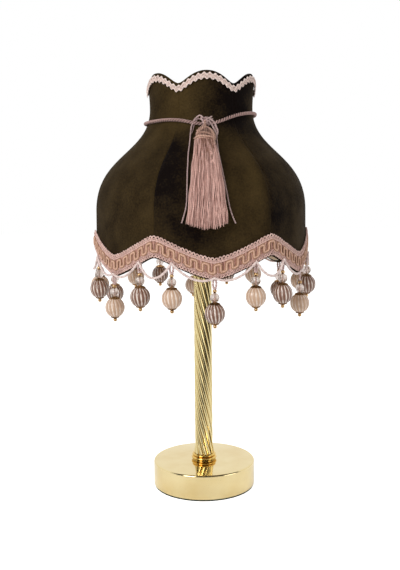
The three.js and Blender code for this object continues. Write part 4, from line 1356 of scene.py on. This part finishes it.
@dataclass(frozen=True)
class TopGimp:
    """Narrow scroll gimp along the scalloped upper edge, of two looping cords: side and distance outside."""

    form: ShadeForm
    width: float = 0.0085
    lip: float = 0.003
    scrolls: int = 68
    strand: float = 0.00066
    spacing: float = 0.00058
    curl: float = 0.0026
    rise: float = 0.0030
    overlap: float = 0.0006
    band_inset: float = 0.0016
    back: float = 0.0005
    front: float = 0.0011
    cords: tuple[tuple[int, float], ...] = ((1, 0.0020), (-1, 0.0026))

    def foot(self, angle: float) -> float:
        """Height of the gimp's lower edge."""
        return self.form.top(angle) - self.lip - self.width

    def scroll(self, strip: Ribbon, side: int) -> list[tuple[float, float]]:
        """Path of one looping cord; side 1 loops at the top and -1 at the foot."""
        steps = 24
        pitch = strip.length / self.scrolls
        shift = 0.5 if side < 0 else 0.0
        points = []
        for i in range(self.scrolls * steps):
            turn = TURN * i / steps
            up = self.width / 2 + side * (self.rise * -math.cos(turn) + self.overlap)
            points.append((pitch * (i / steps + shift) + self.curl * math.sin(turn), up))
        return points

    def build(self, finishes: Finishes) -> None:
        """Adds the gimp."""
        strip = Ribbon(self.form, self.foot, self.width / 2)
        bm = bmesh.new()
        strip.band(bm, self.band_inset, self.width - self.band_inset, self.back, self.front, 2)
        finish_piece(bm, Piece("gimp_band", "shade", "gimp_braid", ("top_gimp",)), finishes[Finish.GIMP_BASE])
        bm = bmesh.new()
        for side, outside in self.cords:
            path = self.scroll(strip, side)
            for aside, tint in ((-self.spacing, 0.9), (self.spacing, 0.4)):
                strip.strand(bm, shifted(path, aside * side, strip.length), outside, self.strand, True, 6, tint=tint)
        finish_piece(bm, Piece("gimp_scrolls", "shade", "gimp_braid"), finishes[Finish.GIMP])


@dataclass(frozen=True)
class NeckCord:
    """Twisted cord round the neck, drawn down by the knot and a little higher on the right."""

    form: ShadeForm
    diameter: float = 0.0047
    strand_offset: float = 0.27
    strand_radius: float = 0.23
    height: float = 0.2088
    rise: float = 0.005
    gap: float = 0.0008
    pitch: float = 0.0078
    sag: float = 0.0108
    sag_width: float = 0.42
    lift: float = 0.003
    lift_angle: float = 1.1
    lift_width: float = 0.6

    def level(self, angle: float) -> float:
        """Height of the cord's middle."""
        turned = math.remainder(angle, TURN)
        drawn = self.sag * math.exp(-((turned / self.sag_width) ** 2))
        lifted = self.lift * math.exp(-(((turned - self.lift_angle) / self.lift_width) ** 2))
        return self.form.hem_low + self.height + self.rise * math.sin(angle) - drawn + lifted

    def build(self, finishes: Finishes) -> None:
        """Adds the cord as two strands."""
        steps = 900
        outside = self.gap + self.diameter / 2
        line = [self.form.point(a, self.level(a), outside) for a in (TURN * i / steps for i in range(steps))]
        bm = bmesh.new()
        for path in plies(line, 2, self.diameter * self.strand_offset, self.pitch, closed=True):
            # Each strand is painted darker towards the cord's middle, as shade in the twist.
            tube(bm, path, self.diameter * self.strand_radius, 12, closed=True, tint=0.8, core=line)
        finish_piece(bm, Piece("neck_rope", "shade", "neck_cord", ("neck_cord",)), finishes[Finish.NECK_CORD])


@dataclass(frozen=True)
class DropPlaces:
    """Where the bead drops hang from the braid's foot, and their eyes."""

    form: ShadeForm
    foot: Callable[[float], float]
    per_panel: int = 3
    spread: float = 21.3
    eye_radius: float = 0.0016
    seat_gap: float = 0.0003

    def angles(self) -> list[float]:
        """Angle of each drop."""
        places = []
        for i in range(self.form.panels * self.per_panel):
            aside = (i % self.per_panel) - (self.per_panel - 1) / 2
            places.append(i // self.per_panel * self.form.panel_angle + math.radians(aside * self.spread))
        return places

    def eye(self, angle: float) -> Vector:
        """Point that a drop swings about."""
        z = self.foot(angle) - self.seat_gap - self.eye_radius
        return self.form.point(angle, z, self.seat_gap + self.eye_radius)


@dataclass(frozen=True)
class SwagCord:
    """Thin satin cord that dips between the drops."""

    places: DropPlaces
    diameter: float = 0.0034
    strand_offset: float = 0.12
    strand_radius: float = 0.38
    dip: float = 0.0108
    cusp_dip: float = 0.0195
    outside: float = 0.0038
    pitch: float = 0.011

    def build(self, finishes: Finishes) -> None:
        """Adds the cord."""
        places, form = self.places, self.places.form
        angles = places.angles()
        steps = 40
        line = []
        for i, angle in enumerate(angles):
            after = angles[(i + 1) % len(angles)] + (TURN if i == len(angles) - 1 else 0)
            over_seam = i % places.per_panel == places.per_panel - 1
            dip = self.cusp_dip if over_seam else self.dip
            for k in range(steps):
                t = k / steps
                tied = mix(places.foot(angle), places.foot(after), t) + self.diameter / 2
                line.append(form.point(mix(angle, after, t), tied - dip * 4 * t * (1 - t), self.outside))
        bm = bmesh.new()
        for i, path in enumerate(plies(line, 2, self.diameter * self.strand_offset, self.pitch, closed=True)):
            tube(bm, path, self.diameter * self.strand_radius, 8, closed=True, tint=0.75 + 0.25 * i)
        finish_piece(bm, Piece("swag", "shade", "swag_cord", ("swag_cord",)), finishes[Finish.SATIN_CORD])


@dataclass(frozen=True)
class Tassel:
    """Knot on the neck cord, bound head, skirt of threads and two cord tails.

    Routes of cords are in millimetres: aside, above the hem and outside the velvet. The head's and the knot's are
    drawn higher than they lie, by head_drop and knot_drop.
    """

    form: ShadeForm
    angle: float = math.radians(-3.5)
    knot_height: float = 0.2018
    knot_outside: float = 0.0048
    knot_wide: float = 0.0017
    knot_high: float = 0.0014
    knot_deep: float = 0.0019
    knot_drop: float = 4.5
    head_drop: float = 10.5
    centre_out: float = 0.0098
    bun_sizes: tuple[tuple[float, float, float], ...] = (
        (0.1890, 0.0024, 0.0024),
        (0.1860, 0.0046, 0.0046),
        (0.1815, 0.0080, 0.0072),
        (0.1765, 0.0103, 0.0088),
        (0.1725, 0.0108, 0.0090),
        (0.1690, 0.0102, 0.0084),
        (0.1655, 0.0090, 0.0072),
    )
    skirt_top: float = 0.1685
    skirt_bottom: float = 0.066
    skirt_top_width: float = 0.0225
    skirt_bottom_width: float = 0.050
    skirt_depth: float = 0.016
    thread_radius: float = 0.00060
    thread_points: int = 27
    skirt_gap: float = 0.0014
    core_inset: float = 0.0006
    head_threads: int = 26
    head_thread: float = 0.0009
    wrap: float = 0.0028
    bindings: tuple[tuple[float, float, float], ...] = ((0.1695, 0.00135, 0.0014), (0.1670, 0.0010, 0.0010))
    binding_tilt: float = 0.0022
    loose_end: float = 0.0021
    lock_threads: int = 7
    lock_spacing: float = 0.62
    lock_radius: float = 0.00085
    tail_diameter: float = 0.0018
    left_tail: tuple[tuple[float, float], ...] = (
        (-6.3, 206), (-13, 202), (-16.5, 194), (-18, 184), (-19.5, 172), (-21.5, 160), (-22.5, 148),
        (-23.5, 136), (-24, 124), (-24.5, 112), (-25, 100), (-26.5, 90), (-29, 81), (-31.5, 73),
    )
    right_tail: tuple[tuple[float, float], ...] = (
        (6.3, 206), (12.5, 202), (14.8, 194), (15.5, 184), (16, 172), (16.8, 160), (18.5, 148),
        (20.5, 136), (22.5, 124), (24.8, 112), (26.8, 100), (29, 90), (32, 81), (36, 72),
    )
    knot_cords: tuple[tuple[float, float, tuple[tuple[float, float, float], ...]], ...] = (
        (1.9, 0.75, (
            (-1, 209, 8), (-3.3, 211.8, 7.6), (-6.1, 212.6, 6.6), (-11.3, 208.5, 4.6), (-14.6, 203, 3.4),
            (-16.5, 197.5, 2.6), (-17.1, 192, 2.2),
        )),
        (1.4, 0.15, (
            (-2, 207, 7), (-6.6, 208.4, 5.2), (-10.4, 205.5, 3.8), (-12.8, 200, 2.8), (-14.4, 193.5, 2.2),
            (-16.6, 187, 1.9),
        )),
        (1.9, 0.85, ((9.6, 211.4, 6.4), (6.2, 208.8, 8.4), (1.2, 204.4, 8.6), (-1.4, 200.5, 7.0))),
        (1.8, 0.60, ((11.0, 208.3, 5.4), (7.6, 206.0, 7.8), (3.4, 202.6, 8.2), (1.2, 198.8, 7.8))),
        (1.7, 0.20, ((-3.0, 210.6, 7.8), (0.6, 206.8, 9.2), (3.2, 202.0, 9.4), (6.0, 197.6, 7.0))),
        (1.8, 0.80, ((-3.4, 211.0, 7.2), (-3.0, 206.6, 8.8), (-1.2, 202.6, 9.2), (0.8, 198.4, 8.4))),
        (1.8, 0.70, (
            (5.4, 205.0, 8.0), (9.0, 199.4, 6.4), (13.0, 191.4, 4.0), (15.2, 186.4, 2.8), (15.9, 180.0, 2.2),
        )),
        (1.9, 0.80, (
            (8.0, 206.4, 7.0), (12.6, 203.6, 5.4), (15.8, 197.0, 3.8), (17.4, 190.0, 2.8), (16.4, 184.0, 2.3),
        )),
        (1.4, 0.35, ((7.0, 204.4, 6.4), (10.6, 200.0, 4.8), (13.6, 194.4, 3.4), (15.8, 187.4, 2.4))),
    )
    wraps: tuple[FlatPath, ...] = (
        ((1.5, 198.5), (-2.0, 196.0), (-5.5, 192.0), (-8.6, 187.6)),
        ((0.5, 196.6), (-3.0, 193.0), (-6.6, 189.0), (-9.8, 184.8)),
        ((-1.2, 197.6), (-3.6, 195.6), (-6.4, 191.8), (-9.2, 188.6)),
        ((0.6, 193.0), (-3.4, 189.8), (-7.2, 186.4), (-10.4, 183.6)),
    )
    stalk: tuple[tuple[float, float, float], ...] = (
        (0.6, 200.5, 7.6), (0.6, 196.0, 8.6), (0.6, 191.0, 9.6), (0.6, 187.0, 9.8),
    )
    stitches: FlatPath = ((-10, 185.8), (-6, 184.2), (-1, 183.2), (4, 182.2), (8, 181.4))
    lock: tuple[tuple[float, float, float], ...] = (
        (1.0, 197.6, 0.4), (4.6, 193.0, 1.2), (8.2, 187.6, 1.8), (10.6, 182.4, 2.2), (11.0, 177.0, 2.2),
    )
    loose_ends: tuple[tuple[tuple[float, float, float], ...], ...] = (
        ((-7, 170.9, 17), (-10.5, 171.9, 12.5), (-13.4, 173.1, 8.5)),
        ((-6, 169.1, 17), (-9.6, 168.9, 13), (-12.8, 169.9, 8.5)),
    )

    def place(self, aside: float, rise: float, outside: float) -> Vector:
        """Point at a distance aside of the tassel's line, above the hem and outside the velvet."""
        z = self.form.hem_low + rise
        return self.form.point(self.angle + aside / self.form.radius(self.angle, z), z, outside)

    def route(self, points: Sequence[tuple[float, float, float]], step: float = 0.0008) -> list[Vector]:
        """Smooth path through points given in millimetres aside, above the hem and outside."""
        return smooth_path([self.place(x * MM, rise * MM, out * MM) for x, rise, out in points], step)

    def cord(self, bm: BMesh, line: Sequence[Vector], diameter: float, tint: float = 0.6) -> None:
        """Adds a two-strand satin cord."""
        # Each strand is painted darker towards the cord's middle, as shade in the twist, and lighter on its outer side.
        for i, path in enumerate(plies(line, 2, diameter * 0.23, diameter * 3.4)):
            tube(bm, path, diameter * 0.3, 8, tint=tint + 0.25 * i, core=line)

    def tail(self, name: str, route: tuple[tuple[float, float], ...], finishes: Finishes) -> None:
        """Adds one cord tail."""
        outside = 0.6 + self.tail_diameter / 2 / MM
        start = self.knot_outside * 0.8 / MM
        line = self.route([(aside, rise, outside if i else start) for i, (aside, rise) in enumerate(route)])
        bm = bmesh.new()
        self.cord(bm, line, self.tail_diameter)
        piece = Piece(f"tail_{name}", "shade", "neck_cord", (f"tassel_tail_{name}",))
        made = finish_piece(bm, piece, finishes[Finish.TAIL_CORD])
        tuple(line[0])
        round(path_length(line), 3)

    def tails(self, finishes: Finishes) -> None:
        """Adds both tails."""
        self.tail("left", self.left_tail, finishes)
        self.tail("right", self.right_tail, finishes)

    def knot(self, finishes: Finishes) -> None:
        """Adds the knot's turns, and the cords that arch out of it."""
        bm = bmesh.new()
        turns = []
        for k in range(96):
            t = TURN * k / 96
            aside = (math.sin(t) + 2 * math.sin(2 * t)) * self.knot_wide
            rise = (math.cos(t) - 2 * math.cos(2 * t)) * self.knot_high
            out = -math.sin(3 * t) * self.knot_deep
            turns.append(self.place(0.0008 + aside, self.knot_height + rise, self.knot_outside + 0.0014 + out))
        for i, path in enumerate(plies(turns, 2, 0.0006, 0.006, closed=True)):
            tube(bm, path, 0.00088, 6, closed=True, tint=0.3 + 0.3 * i)
        for diameter, tint, points in self.knot_cords:
            lowered = [(x, rise - self.knot_drop * smooth(rise, 178, 200), out) for x, rise, out in points]
            self.cord(bm, self.route(lowered), diameter * MM, tint)
        finish_piece(bm, Piece("knot", "shade", "neck_cord", ("tassel_knot",)), finishes[Finish.TAIL_CORD])

    def bun_size(self, rise: float) -> tuple[float, float]:
        """Half width and half depth of the head at a height."""
        rows = self.bun_sizes
        for (z1, w1, d1), (z0, w0, d0) in zip(rows, rows[1:]):
            if rise >= z0 or z0 == rows[-1][0]:
                share = min(1.0, max(0.0, (rise - z0) / (z1 - z0)))
                return mix(w0, w1, share), mix(d0, d1, share)
        return rows[-1][1:]

    def round_bun(self, turn: float, rise: float, swell: float = 0.0) -> Vector:
        """Point round the head at an angle, a height and a distance outside it."""
        wide, deep = self.bun_size(rise)
        return self.place((wide + swell) * math.cos(turn), rise, self.centre_out + (deep + swell) * math.sin(turn))

    def on_bun(self, aside: float, rise: float, swell: float = 0.0) -> Vector:
        """Point on the front of the head, in millimetres aside and up, before the head's drop."""
        rise -= self.head_drop
        wide, deep = self.bun_size(rise * MM)
        share = min(0.985, max(-0.985, aside * MM / (wide + swell)))
        out = self.centre_out + (deep + swell) * math.sqrt(1 - share**2)
        return self.place(share * (wide + swell), rise * MM, out)

    def head(self, finishes: Finishes) -> None:
        """Adds the bound head on its stalk."""
        bm = bmesh.new()
        high, low = self.bun_sizes[0][0], self.bun_sizes[-1][0]

        def core(u: float, v: float) -> Vector:
            return self.round_bun(TURN * u, mix(high, low, v), -self.core_inset)

        # The core under the head's threads has a low tint, painted shade in the gaps between them.
        weld(bm, patch(bm, 32, 20, core, (1, 0.02), 0.1))
        rng = random.Random(3)
        for i in range(self.head_threads):
            turn = TURN * i / self.head_threads
            lean = rng.uniform(0.1, 0.4)
            heights = [mix(high - 0.0005, low + 0.0005, k / 9) for k in range(10)]
            points = [self.round_bun(turn + lean * k / 9, rise) for k, rise in enumerate(heights)]
            tube(bm, points, self.head_thread, 6, tint=rng.uniform(0.05, 0.9))
        for i, points in enumerate(self.wraps):
            line = smooth_path([self.on_bun(x, rise, self.wrap / 2) for x, rise in points], 0.0008)
            self.cord(bm, line, self.wrap, 0.55 + 0.2 * (i % 2))
        for path in plies(self.route(self.stalk), 3, self.head_thread, 0.012):
            tube(bm, path, 0.00095, 6, tint=0.6)
        finish_piece(bm, Piece("tassel_bun", "tassel", "tassel_silk", ("tassel_head",)), finishes[Finish.TASSEL_BOUND])
        bm = bmesh.new()
        for level, radius, dip in self.bindings:
            ring = []
            for k in range(64):
                turn = TURN * k / 64
                rise = level + self.binding_tilt * max(0.0, -math.cos(turn)) - dip * max(0.0, math.sin(turn))
                ring.append(self.round_bun(turn, rise, radius * 0.7))
            tube(bm, ring, radius, 8, closed=True, tint=0.9)
        stitches = smooth_path([self.on_bun(x, rise, 0.0012) for x, rise in self.stitches], 0.0006)
        for i, path in enumerate(plies(stitches, 2, 0.0007, 0.0034)):
            tube(bm, path, 0.0006, 6, tint=0.9 - 0.3 * i)
        for i in range(self.lock_threads):
            aside = (i - self.lock_threads // 2) * self.lock_spacing
            line = [
                self.on_bun(x + aside * (0.4 + 0.15 * k), rise, swell * MM)
                for k, (x, rise, swell) in enumerate(self.lock)
            ]
            line.append(self.place((11.2 + aside * 0.4) * MM, 0.1610, 0.0150))
            tube(bm, smooth_path(line, 0.0012), self.lock_size, 6, tint=0.75)
        for points in self.loose_ends:
            self.cord(bm, self.route(points), self.loose_end, 0.6)
        finish_piece(bm, Piece("tassel_binding", "tassel", "tassel_silk"), finishes[Finish.TASSEL_BOUND])

    def lock_size(self, share: float) -> float:
        """Radius of a thread of the lock over the head, finer towards its tip."""
        return self.lock_radius * (1 - 0.5 * max(0.0, share - 0.7) / 0.3)

    def thread_size(self, share: float) -> float:
        """Radius of a thread of the skirt, finer at its tip."""
        return self.thread_radius * (1 if share < 0.97 else 0.5)

    def skirt(self, finishes: Finishes) -> None:
        """Adds the threads of the skirt in shells; the inner ones, and short ones over the top of its front, are darker
        and browner: painted shade inside the skirt and under the head.
        """
        rng = random.Random(5)
        for name, finish, shells in (
            ("inner", Finish.TASSEL_PAINTED_SHADE, ((0.40, 26), (0.72, 50), (1.03, 44))),
            ("outer", Finish.TASSEL_SILK, ((0.86, 84), (1.0, 118))),
        ):
            bm = bmesh.new()
            for shell, count in shells:
                for i in range(count):
                    turn = TURN * (i + rng.uniform(-0.4, 0.4)) / count
                    short = name == "inner" and shell > 0.9
                    end = self.skirt_bottom + rng.uniform(-0.0015, 0.0050) + 0.007 * math.cos(turn) ** 2
                    if short:
                        turn = math.pi / 2 + rng.uniform(-0.75, 0.75)
                        end = mix(self.skirt_top, self.skirt_bottom, rng.uniform(0.08, 0.34))
                    size = shell + rng.uniform(-0.05, 0.05)
                    wobble, phase, beat = rng.uniform(0.0002, 0.0007), rng.uniform(0, TURN), rng.uniform(14, 26)
                    points = []
                    for k in range(self.thread_points):
                        rise = mix(self.skirt_top, end, k / (self.thread_points - 1))
                        share = (self.skirt_top - rise) / (self.skirt_top - self.skirt_bottom)
                        width = mix(self.skirt_top_width, self.skirt_bottom_width, max(0.0, share) ** 0.78)
                        sway = wobble * math.sin(phase + share * beat)
                        depth = self.skirt_depth / 2 * (1 + size * math.sin(turn) - (0.25 * share if short else 0))
                        out = self.skirt_gap + depth + wobble * math.cos(phase + share * beat * 1.3)
                        points.append(self.place(width / 2 * size * math.cos(turn) + sway, rise, out))
                    tube(bm, points, self.thread_size, 5, tint=rng.uniform(0.15, 1.0))
            nodes = ("tassel_skirt",) if name == "outer" else ()
            finish_piece(bm, Piece(f"tassel_skirt_{name}", "tassel", "tassel_silk", nodes), finishes[finish])

    def build(self, finishes: Finishes) -> None:
        """Adds the knot, the head and the skirt."""
        self.knot(finishes)
        self.head(finishes)
        self.skirt(finishes)


@dataclass(frozen=True)
class BeadDrop:
    """One hanging drop: cord loop, gold ball, clear bead, caps, swirled bead and tip."""

    number: int
    eye: Vector
    angle: float
    cream: bool
    loop_length: float = 0.0104
    loop_width: float = 0.0074
    cord: float = 0.0030
    ball: float = 0.0054
    glass: float = 0.0122
    thread: float = 0.0016
    bead_diameter: float = 0.0262
    bead_length: float = 0.0268
    tip: float = 0.0052
    flutes: int = 15
    swirl: float = -0.07
    flute_depth: float = 0.0010
    top_cap: float = 0.0068
    foot_cap: float = 0.0056
    cap_wall: float = 0.0010
    cap_lobes: int = 9
    cap_wave: float = 60.0
    girth_power: float = 0.92
    spacer: float = 0.0022
    spacer_rise: float = 0.0012
    spacer_half: float = 0.0014
    foot_gap: float = 0.0006
    loop_twist: float = 0.007
    hole: float = 0.0009

    def move(self, bm: BMesh) -> None:
        """Puts a mesh made about the eye in its place."""
        turn = Matrix.Translation(self.eye) @ Matrix.Rotation(self.angle, 4, "Z")
        bmesh.ops.transform(bm, matrix=turn, verts=bm.verts)

    def piece(self, part: str, slot: str, nodes: tuple[str, ...] = ()) -> Piece:
        """What one part of this drop is called and rides on."""
        return Piece(f"drop_{self.number:02d}_{part}", f"drop_{self.number:02d}", slot, nodes)

    @property
    def glass_top(self) -> float:
        """Top of the clear bead."""
        return -self.loop_length - self.ball + 0.0004

    @property
    def bead_top(self) -> float:
        """Top of the swirled bead."""
        return self.glass_top - self.glass - self.thread / 2

    def loop(self, finishes: Finishes) -> None:
        """Adds the cord loop and the thread through the beads."""
        bm = bmesh.new()
        wide = self.loop_width / 2 - self.cord / 2
        half = []
        for k in range(13):
            share = k / 12
            spread = wide * math.sin(math.pi * (0.16 + 0.80 * share)) ** 0.7
            half.append((spread, mix(0.0014, -self.loop_length - 0.0004, share)))
        points = [Vector((-x, -0.0004, z)) for x, z in reversed(half)] + [Vector((x, 0.0004, z)) for x, z in half]
        for i, path in enumerate(plies(smooth_path(points, 0.0007), 2, self.cord * 0.22, self.loop_twist)):
            tube(bm, path, self.cord * 0.3, 6, tint=0.15 + 0.4 * i)
        through = [Vector((0, 0, z)) for z in (-self.loop_length, self.glass_top, self.bead_top, self.bead_top - 0.004)]
        tube(bm, through, self.thread / 2 * 0.8, 6)
        self.move(bm)
        finish_piece(bm, self.piece("loop", "swag_cord"), finishes[Finish.SATIN_CORD])

    def ball_and_tip(self, finishes: Finishes) -> None:
        """Adds the gold ball, the spacer under the clear bead and the tip."""
        bm = bmesh.new()
        ball = -self.loop_length - self.ball / 2
        side = arc((0, ball), self.ball / 2, 80, -80, 10)
        lathe(bm, [(0, ball + self.ball / 2), *side, (0, ball - self.ball / 2)], 20, False)
        spacer = self.bead_top + self.spacer_rise
        side = arc((0, spacer), self.spacer, 70, -70, 6)
        lathe(bm, [(0, spacer + self.spacer_half), *side, (0, spacer - self.spacer_half)], 16, False)
        foot = self.bead_top - self.bead_length - self.foot_gap
        side = arc((0, foot - self.tip / 2), self.tip / 2, 75, -80, 9)
        lathe(bm, [(0, foot), *side, (0, foot - self.tip)], 16, False)
        self.move(bm)
        finish_piece(bm, self.piece("gold", "holder_brass"), finishes[Finish.BEAD_GOLD])

    def girth(self, turn: float) -> float:
        """Share of the bead's radius at an angle from its top."""
        return max(0.0, math.sin(turn)) ** self.girth_power

    def cap(self, bm: BMesh, way: int, radius: float) -> None:
        """Adds one scalloped cap; way is 1 at the top of the bead and -1 at its foot."""
        middle = self.bead_top - self.bead_length / 2
        rim = math.asin((radius / (self.bead_diameter / 2)) ** (1 / self.girth_power))
        outer, inner = [], []
        for k in range(7):
            turn = mix(0.05, rim, k / 6)
            girth, level = self.girth(turn) * self.bead_diameter / 2, math.cos(turn) * self.bead_length / 2
            lift = self.cap_wall * (1.5 - 0.5 * k / 6)
            outer.append((girth + lift * math.sin(turn), middle + way * (level + lift * math.cos(turn))))
            inner.append((max(girth - 0.0006, 0.0003), middle + way * (level - 0.0004)))
        verts = lathe(bm, [*outer, *reversed(inner)], 48)
        edge = middle + way * math.cos(rim * 0.62) * self.bead_length / 2
        for vert in verts:
            past = max(0.0, (edge - vert.co.z) * way)
            wave = math.cos(self.cap_lobes * math.atan2(vert.co.y, vert.co.x))
            vert.co.z -= way * past * 0.55 * wave
            vert.co.x *= 1 + self.cap_wave * past * wave
            vert.co.y *= 1 + self.cap_wave * past * wave

    def caps(self, finishes: Finishes) -> None:
        """Adds both caps of the large bead."""
        bm = bmesh.new()
        self.cap(bm, 1, self.top_cap)
        self.cap(bm, -1, self.foot_cap)
        self.move(bm)
        finish_piece(bm, self.piece("caps", "holder_brass"), finishes[Finish.ANTIQUE_GOLD])

    def clear_bead(self, finishes: Finishes) -> None:
        """Adds the clear bead."""
        bm = bmesh.new()
        middle, radius = self.glass_top - self.glass / 2, self.glass / 2
        side = arc((0, middle), radius, 80, -80, 16)
        lathe(bm, [(self.hole, middle + radius * 0.97), *side, (self.hole, middle - radius * 0.97)], 28)
        self.move(bm)
        finish_piece(bm, self.piece("glass", "opal_glass"), finishes[Finish.GLASS])

    def swirled_bead(self, finishes: Finishes) -> None:
        """Adds the large fluted bead."""
        bm = bmesh.new()
        middle = self.bead_top - self.bead_length / 2

        def place(u: float, v: float) -> Vector:
            turn = math.pi * v
            girth = self.girth(turn)
            wave = abs(math.cos(math.pi * self.flutes * (u + self.swirl * v))) ** 0.8
            radius = (self.bead_diameter / 2 - self.flute_depth * (1 - wave)) * girth
            z = middle + self.bead_length / 2 * math.cos(turn)
            return Vector((radius * math.cos(TURN * u), radius * math.sin(TURN * u), z))

        weld(bm, patch(bm, self.flutes * 6, 24, place), NEAR)
        self.move(bm)
        finish = Finish.CREAM_BEAD if self.cream else Finish.TAUPE_BEAD
        piece = self.piece("bead", finish.value.name, (f"bead_drop_{self.number:02d}",))
        finish_piece(bm, piece, finishes[finish], sharp=60)

    def build(self, finishes: Finishes) -> None:
        """Adds the drop."""
        self.loop(finishes)
        self.ball_and_tip(finishes)
        self.caps(finishes)
        self.clear_bead(finishes)
        self.swirled_bead(finishes)


@dataclass(frozen=True)
class Stand:
    """Drum base, collar and rope-twist stem."""

    drum_bottom: float
    collar_bottom: float
    stem_bottom: float
    drum_radius: float = 0.074
    drum_height: float = 0.0352
    drum_wall: float = 0.0015
    edge: float = 0.0024
    foot_edge: float = 0.0014
    rod_hole: float = 0.0053
    collar_height: float = 0.0093
    collar_radius: float = 0.0185
    lip_radius: float = 0.015
    foot_radius: float = 0.0165
    stem_length: float = 0.294
    stem_radius: float = 0.013
    stem_bore: float = 0.008
    flutes: int = 12
    flute_depth: float = 0.0022
    twist_pitch: float = 0.280
    flute_power: float = 0.7
    flute_columns: int = 14
    rows: int = 260
    foot_flare: float = 0.0015
    foot_height: float = 0.014

    def drum(self, finishes: Finishes) -> None:
        """Adds the drum with its rounded edges."""
        low, top = self.drum_bottom, self.drum_bottom + self.drum_height
        outer, edge, wall = self.drum_radius, self.edge, self.drum_wall
        profile = [
            (outer - wall, low),
            *arc((outer - self.foot_edge, low + self.foot_edge), self.foot_edge, -80, 0, 5),
            *arc((outer - edge, top - edge), edge, 0, 90, 10),
            (self.rod_hole, top),
            (self.rod_hole, top - wall),
            (outer - wall - edge, top - wall),
            (outer - wall, top - wall - edge),
        ]
        bm = bmesh.new()
        lathe(bm, profile, 192)
        piece = Piece("drum", "stand", "polished_brass", ("base_shell",))
        finish_piece(bm, piece, finishes[Finish.POLISHED_BRASS], sharp=50)

    def collar(self, finishes: Finishes) -> None:
        """Adds the collar with its bulge and upper lip."""
        z, height = self.collar_bottom, self.collar_height
        low, high = height * 0.10, height * 0.62
        bulge = []
        for k in range(13):
            turn = (k / 12 - 0.5) * math.pi
            rise = mix(low, high, (1 + math.sin(turn)) / 2)
            bulge.append((self.lip_radius + (self.collar_radius - self.lip_radius) * math.cos(turn), z + rise))
        lip = arc((self.lip_radius + 0.0006, z + height * 0.82), height * 0.18, -80, 80, 8)
        profile = [
            (self.rod_hole, z),
            (self.foot_radius, z),
            (self.foot_radius, z + low * 0.8),
            *bulge,
            *lip,
            (self.lip_radius - 0.0004, z + height),
            (self.rod_hole, z + height),
        ]
        bm = bmesh.new()
        lathe(bm, profile, 96)
        finish_piece(bm, Piece("collar", "stand", "collar_brass", ("stem_collar",)), finishes[Finish.COLLAR_BRASS])

    def groove_tint(self, u: float, v: float) -> float:
        """How far from the bottom of a flute a place round the stem is."""
        return abs(math.cos(math.pi * self.flutes * u)) ** self.flute_power

    def stem(self, finishes: Finishes) -> None:
        """Adds the rope-twist tube with its bore."""
        bm = bmesh.new()

        def outside(u: float, v: float) -> Vector:
            z = self.stem_length * v
            flare = self.foot_flare * max(0.0, 1 - z / self.foot_height)
            lobe = self.groove_tint(u, v)
            angle = TURN * u - TURN / self.twist_pitch * z
            return around(self.stem_radius + flare - self.flute_depth * (1 - lobe), angle, self.stem_bottom + z)

        def bore(u: float, v: float) -> Vector:
            angle = TURN * u - TURN / self.twist_pitch * self.stem_length * round(v)
            return around(self.stem_bore, angle, self.stem_bottom + self.stem_length * v)

        for rows, place in ((self.rows, outside), (1, bore)):
            # The groove tint also sets where the brass is painted with shade in the flutes.
            weld(bm, patch(bm, self.flutes * self.flute_columns, rows, place, tint=self.groove_tint))
        for level in (self.stem_bottom, self.stem_bottom + self.stem_length):
            rims = [e for e in bm.edges if e.is_boundary and all(abs(v.co.z - level) < NEAR for v in e.verts)]
            bmesh.ops.bridge_loops(bm, edges=rims)
        piece = Piece("stem", "stand", "polished_brass", ("stem_tube",))
        finish_piece(bm, piece, finishes[Finish.STEM_BRASS], sharp=50)

    def build(self, finishes: Finishes) -> None:
        """Adds the base, the collar and the stem."""
        self.drum(finishes)
        self.collar(finishes)
        self.stem(finishes)


NODE_FINISHES = {
    Finish.FELT: ("felt_pad",),
    Finish.STEEL: (
        "base_cover_plate",
        "cover_screw_1",
        "cover_screw_2",
        "cover_screw_3",
        "rod_nut",
        "lock_washer",
        "threaded_rod",
    ),
    Finish.CAST_IRON: ("base_weight",),
    Finish.BLACK_PLASTIC: ("cable_gland", "switch_bar", "shade_ring"),
    Finish.HOLDER_BRASS: ("stem_top_cap", "holder_cap", "holder_body", "side_contact", "centre_contact", "bulb_cap"),
    Finish.PORCELAIN: ("ceramic_insert",),
    Finish.OPAL_GLASS: ("bulb_globe",),
    Finish.ENAMEL: ("fitter_spider",),
}


def dress_nodes(frame: dict, finishes: Finishes) -> None:
    """Gives each carried-over node its finish."""
    for finish, names in NODE_FINISHES.items():
        for name in names:
            node = frame["nodes"][name]
            node.data.materials.clear()
            node.data.materials.append(finishes[finish])


def main() -> None:
    """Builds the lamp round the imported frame."""
    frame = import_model()
    finishes = Finishes()
    form = ShadeForm(hem_low=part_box("velvet_panel_1")[0].z)
    log.info("hem at %.4f", form.hem_low)
    Studio().build()
    tassel = Tassel(form)
    tassel.tails(finishes)
    VelvetCover(form).build(finishes)
    braid = HemBraid(form)
    braid.build(finishes)
    TopGimp(form).build(finishes)
    NeckCord(form).build(finishes)
    places = DropPlaces(form, braid.foot)
    SwagCord(places).build(finishes)
    tassel.build(finishes)
    for i, angle in enumerate(places.angles()):
        BeadDrop(i + 1, places.eye(angle), angle, cream=i % 2 == 0).build(finishes)
    Stand(
        drum_bottom=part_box("base_shell")[0].z,
        collar_bottom=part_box("stem_collar")[0].z,
        stem_bottom=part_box("stem_tube")[0].z,
    ).build(finishes)
    dress_nodes(frame, finishes)


if __name__ == "__main__":
    logging.basicConfig(level=logging.INFO, format="%(message)s")
    main()
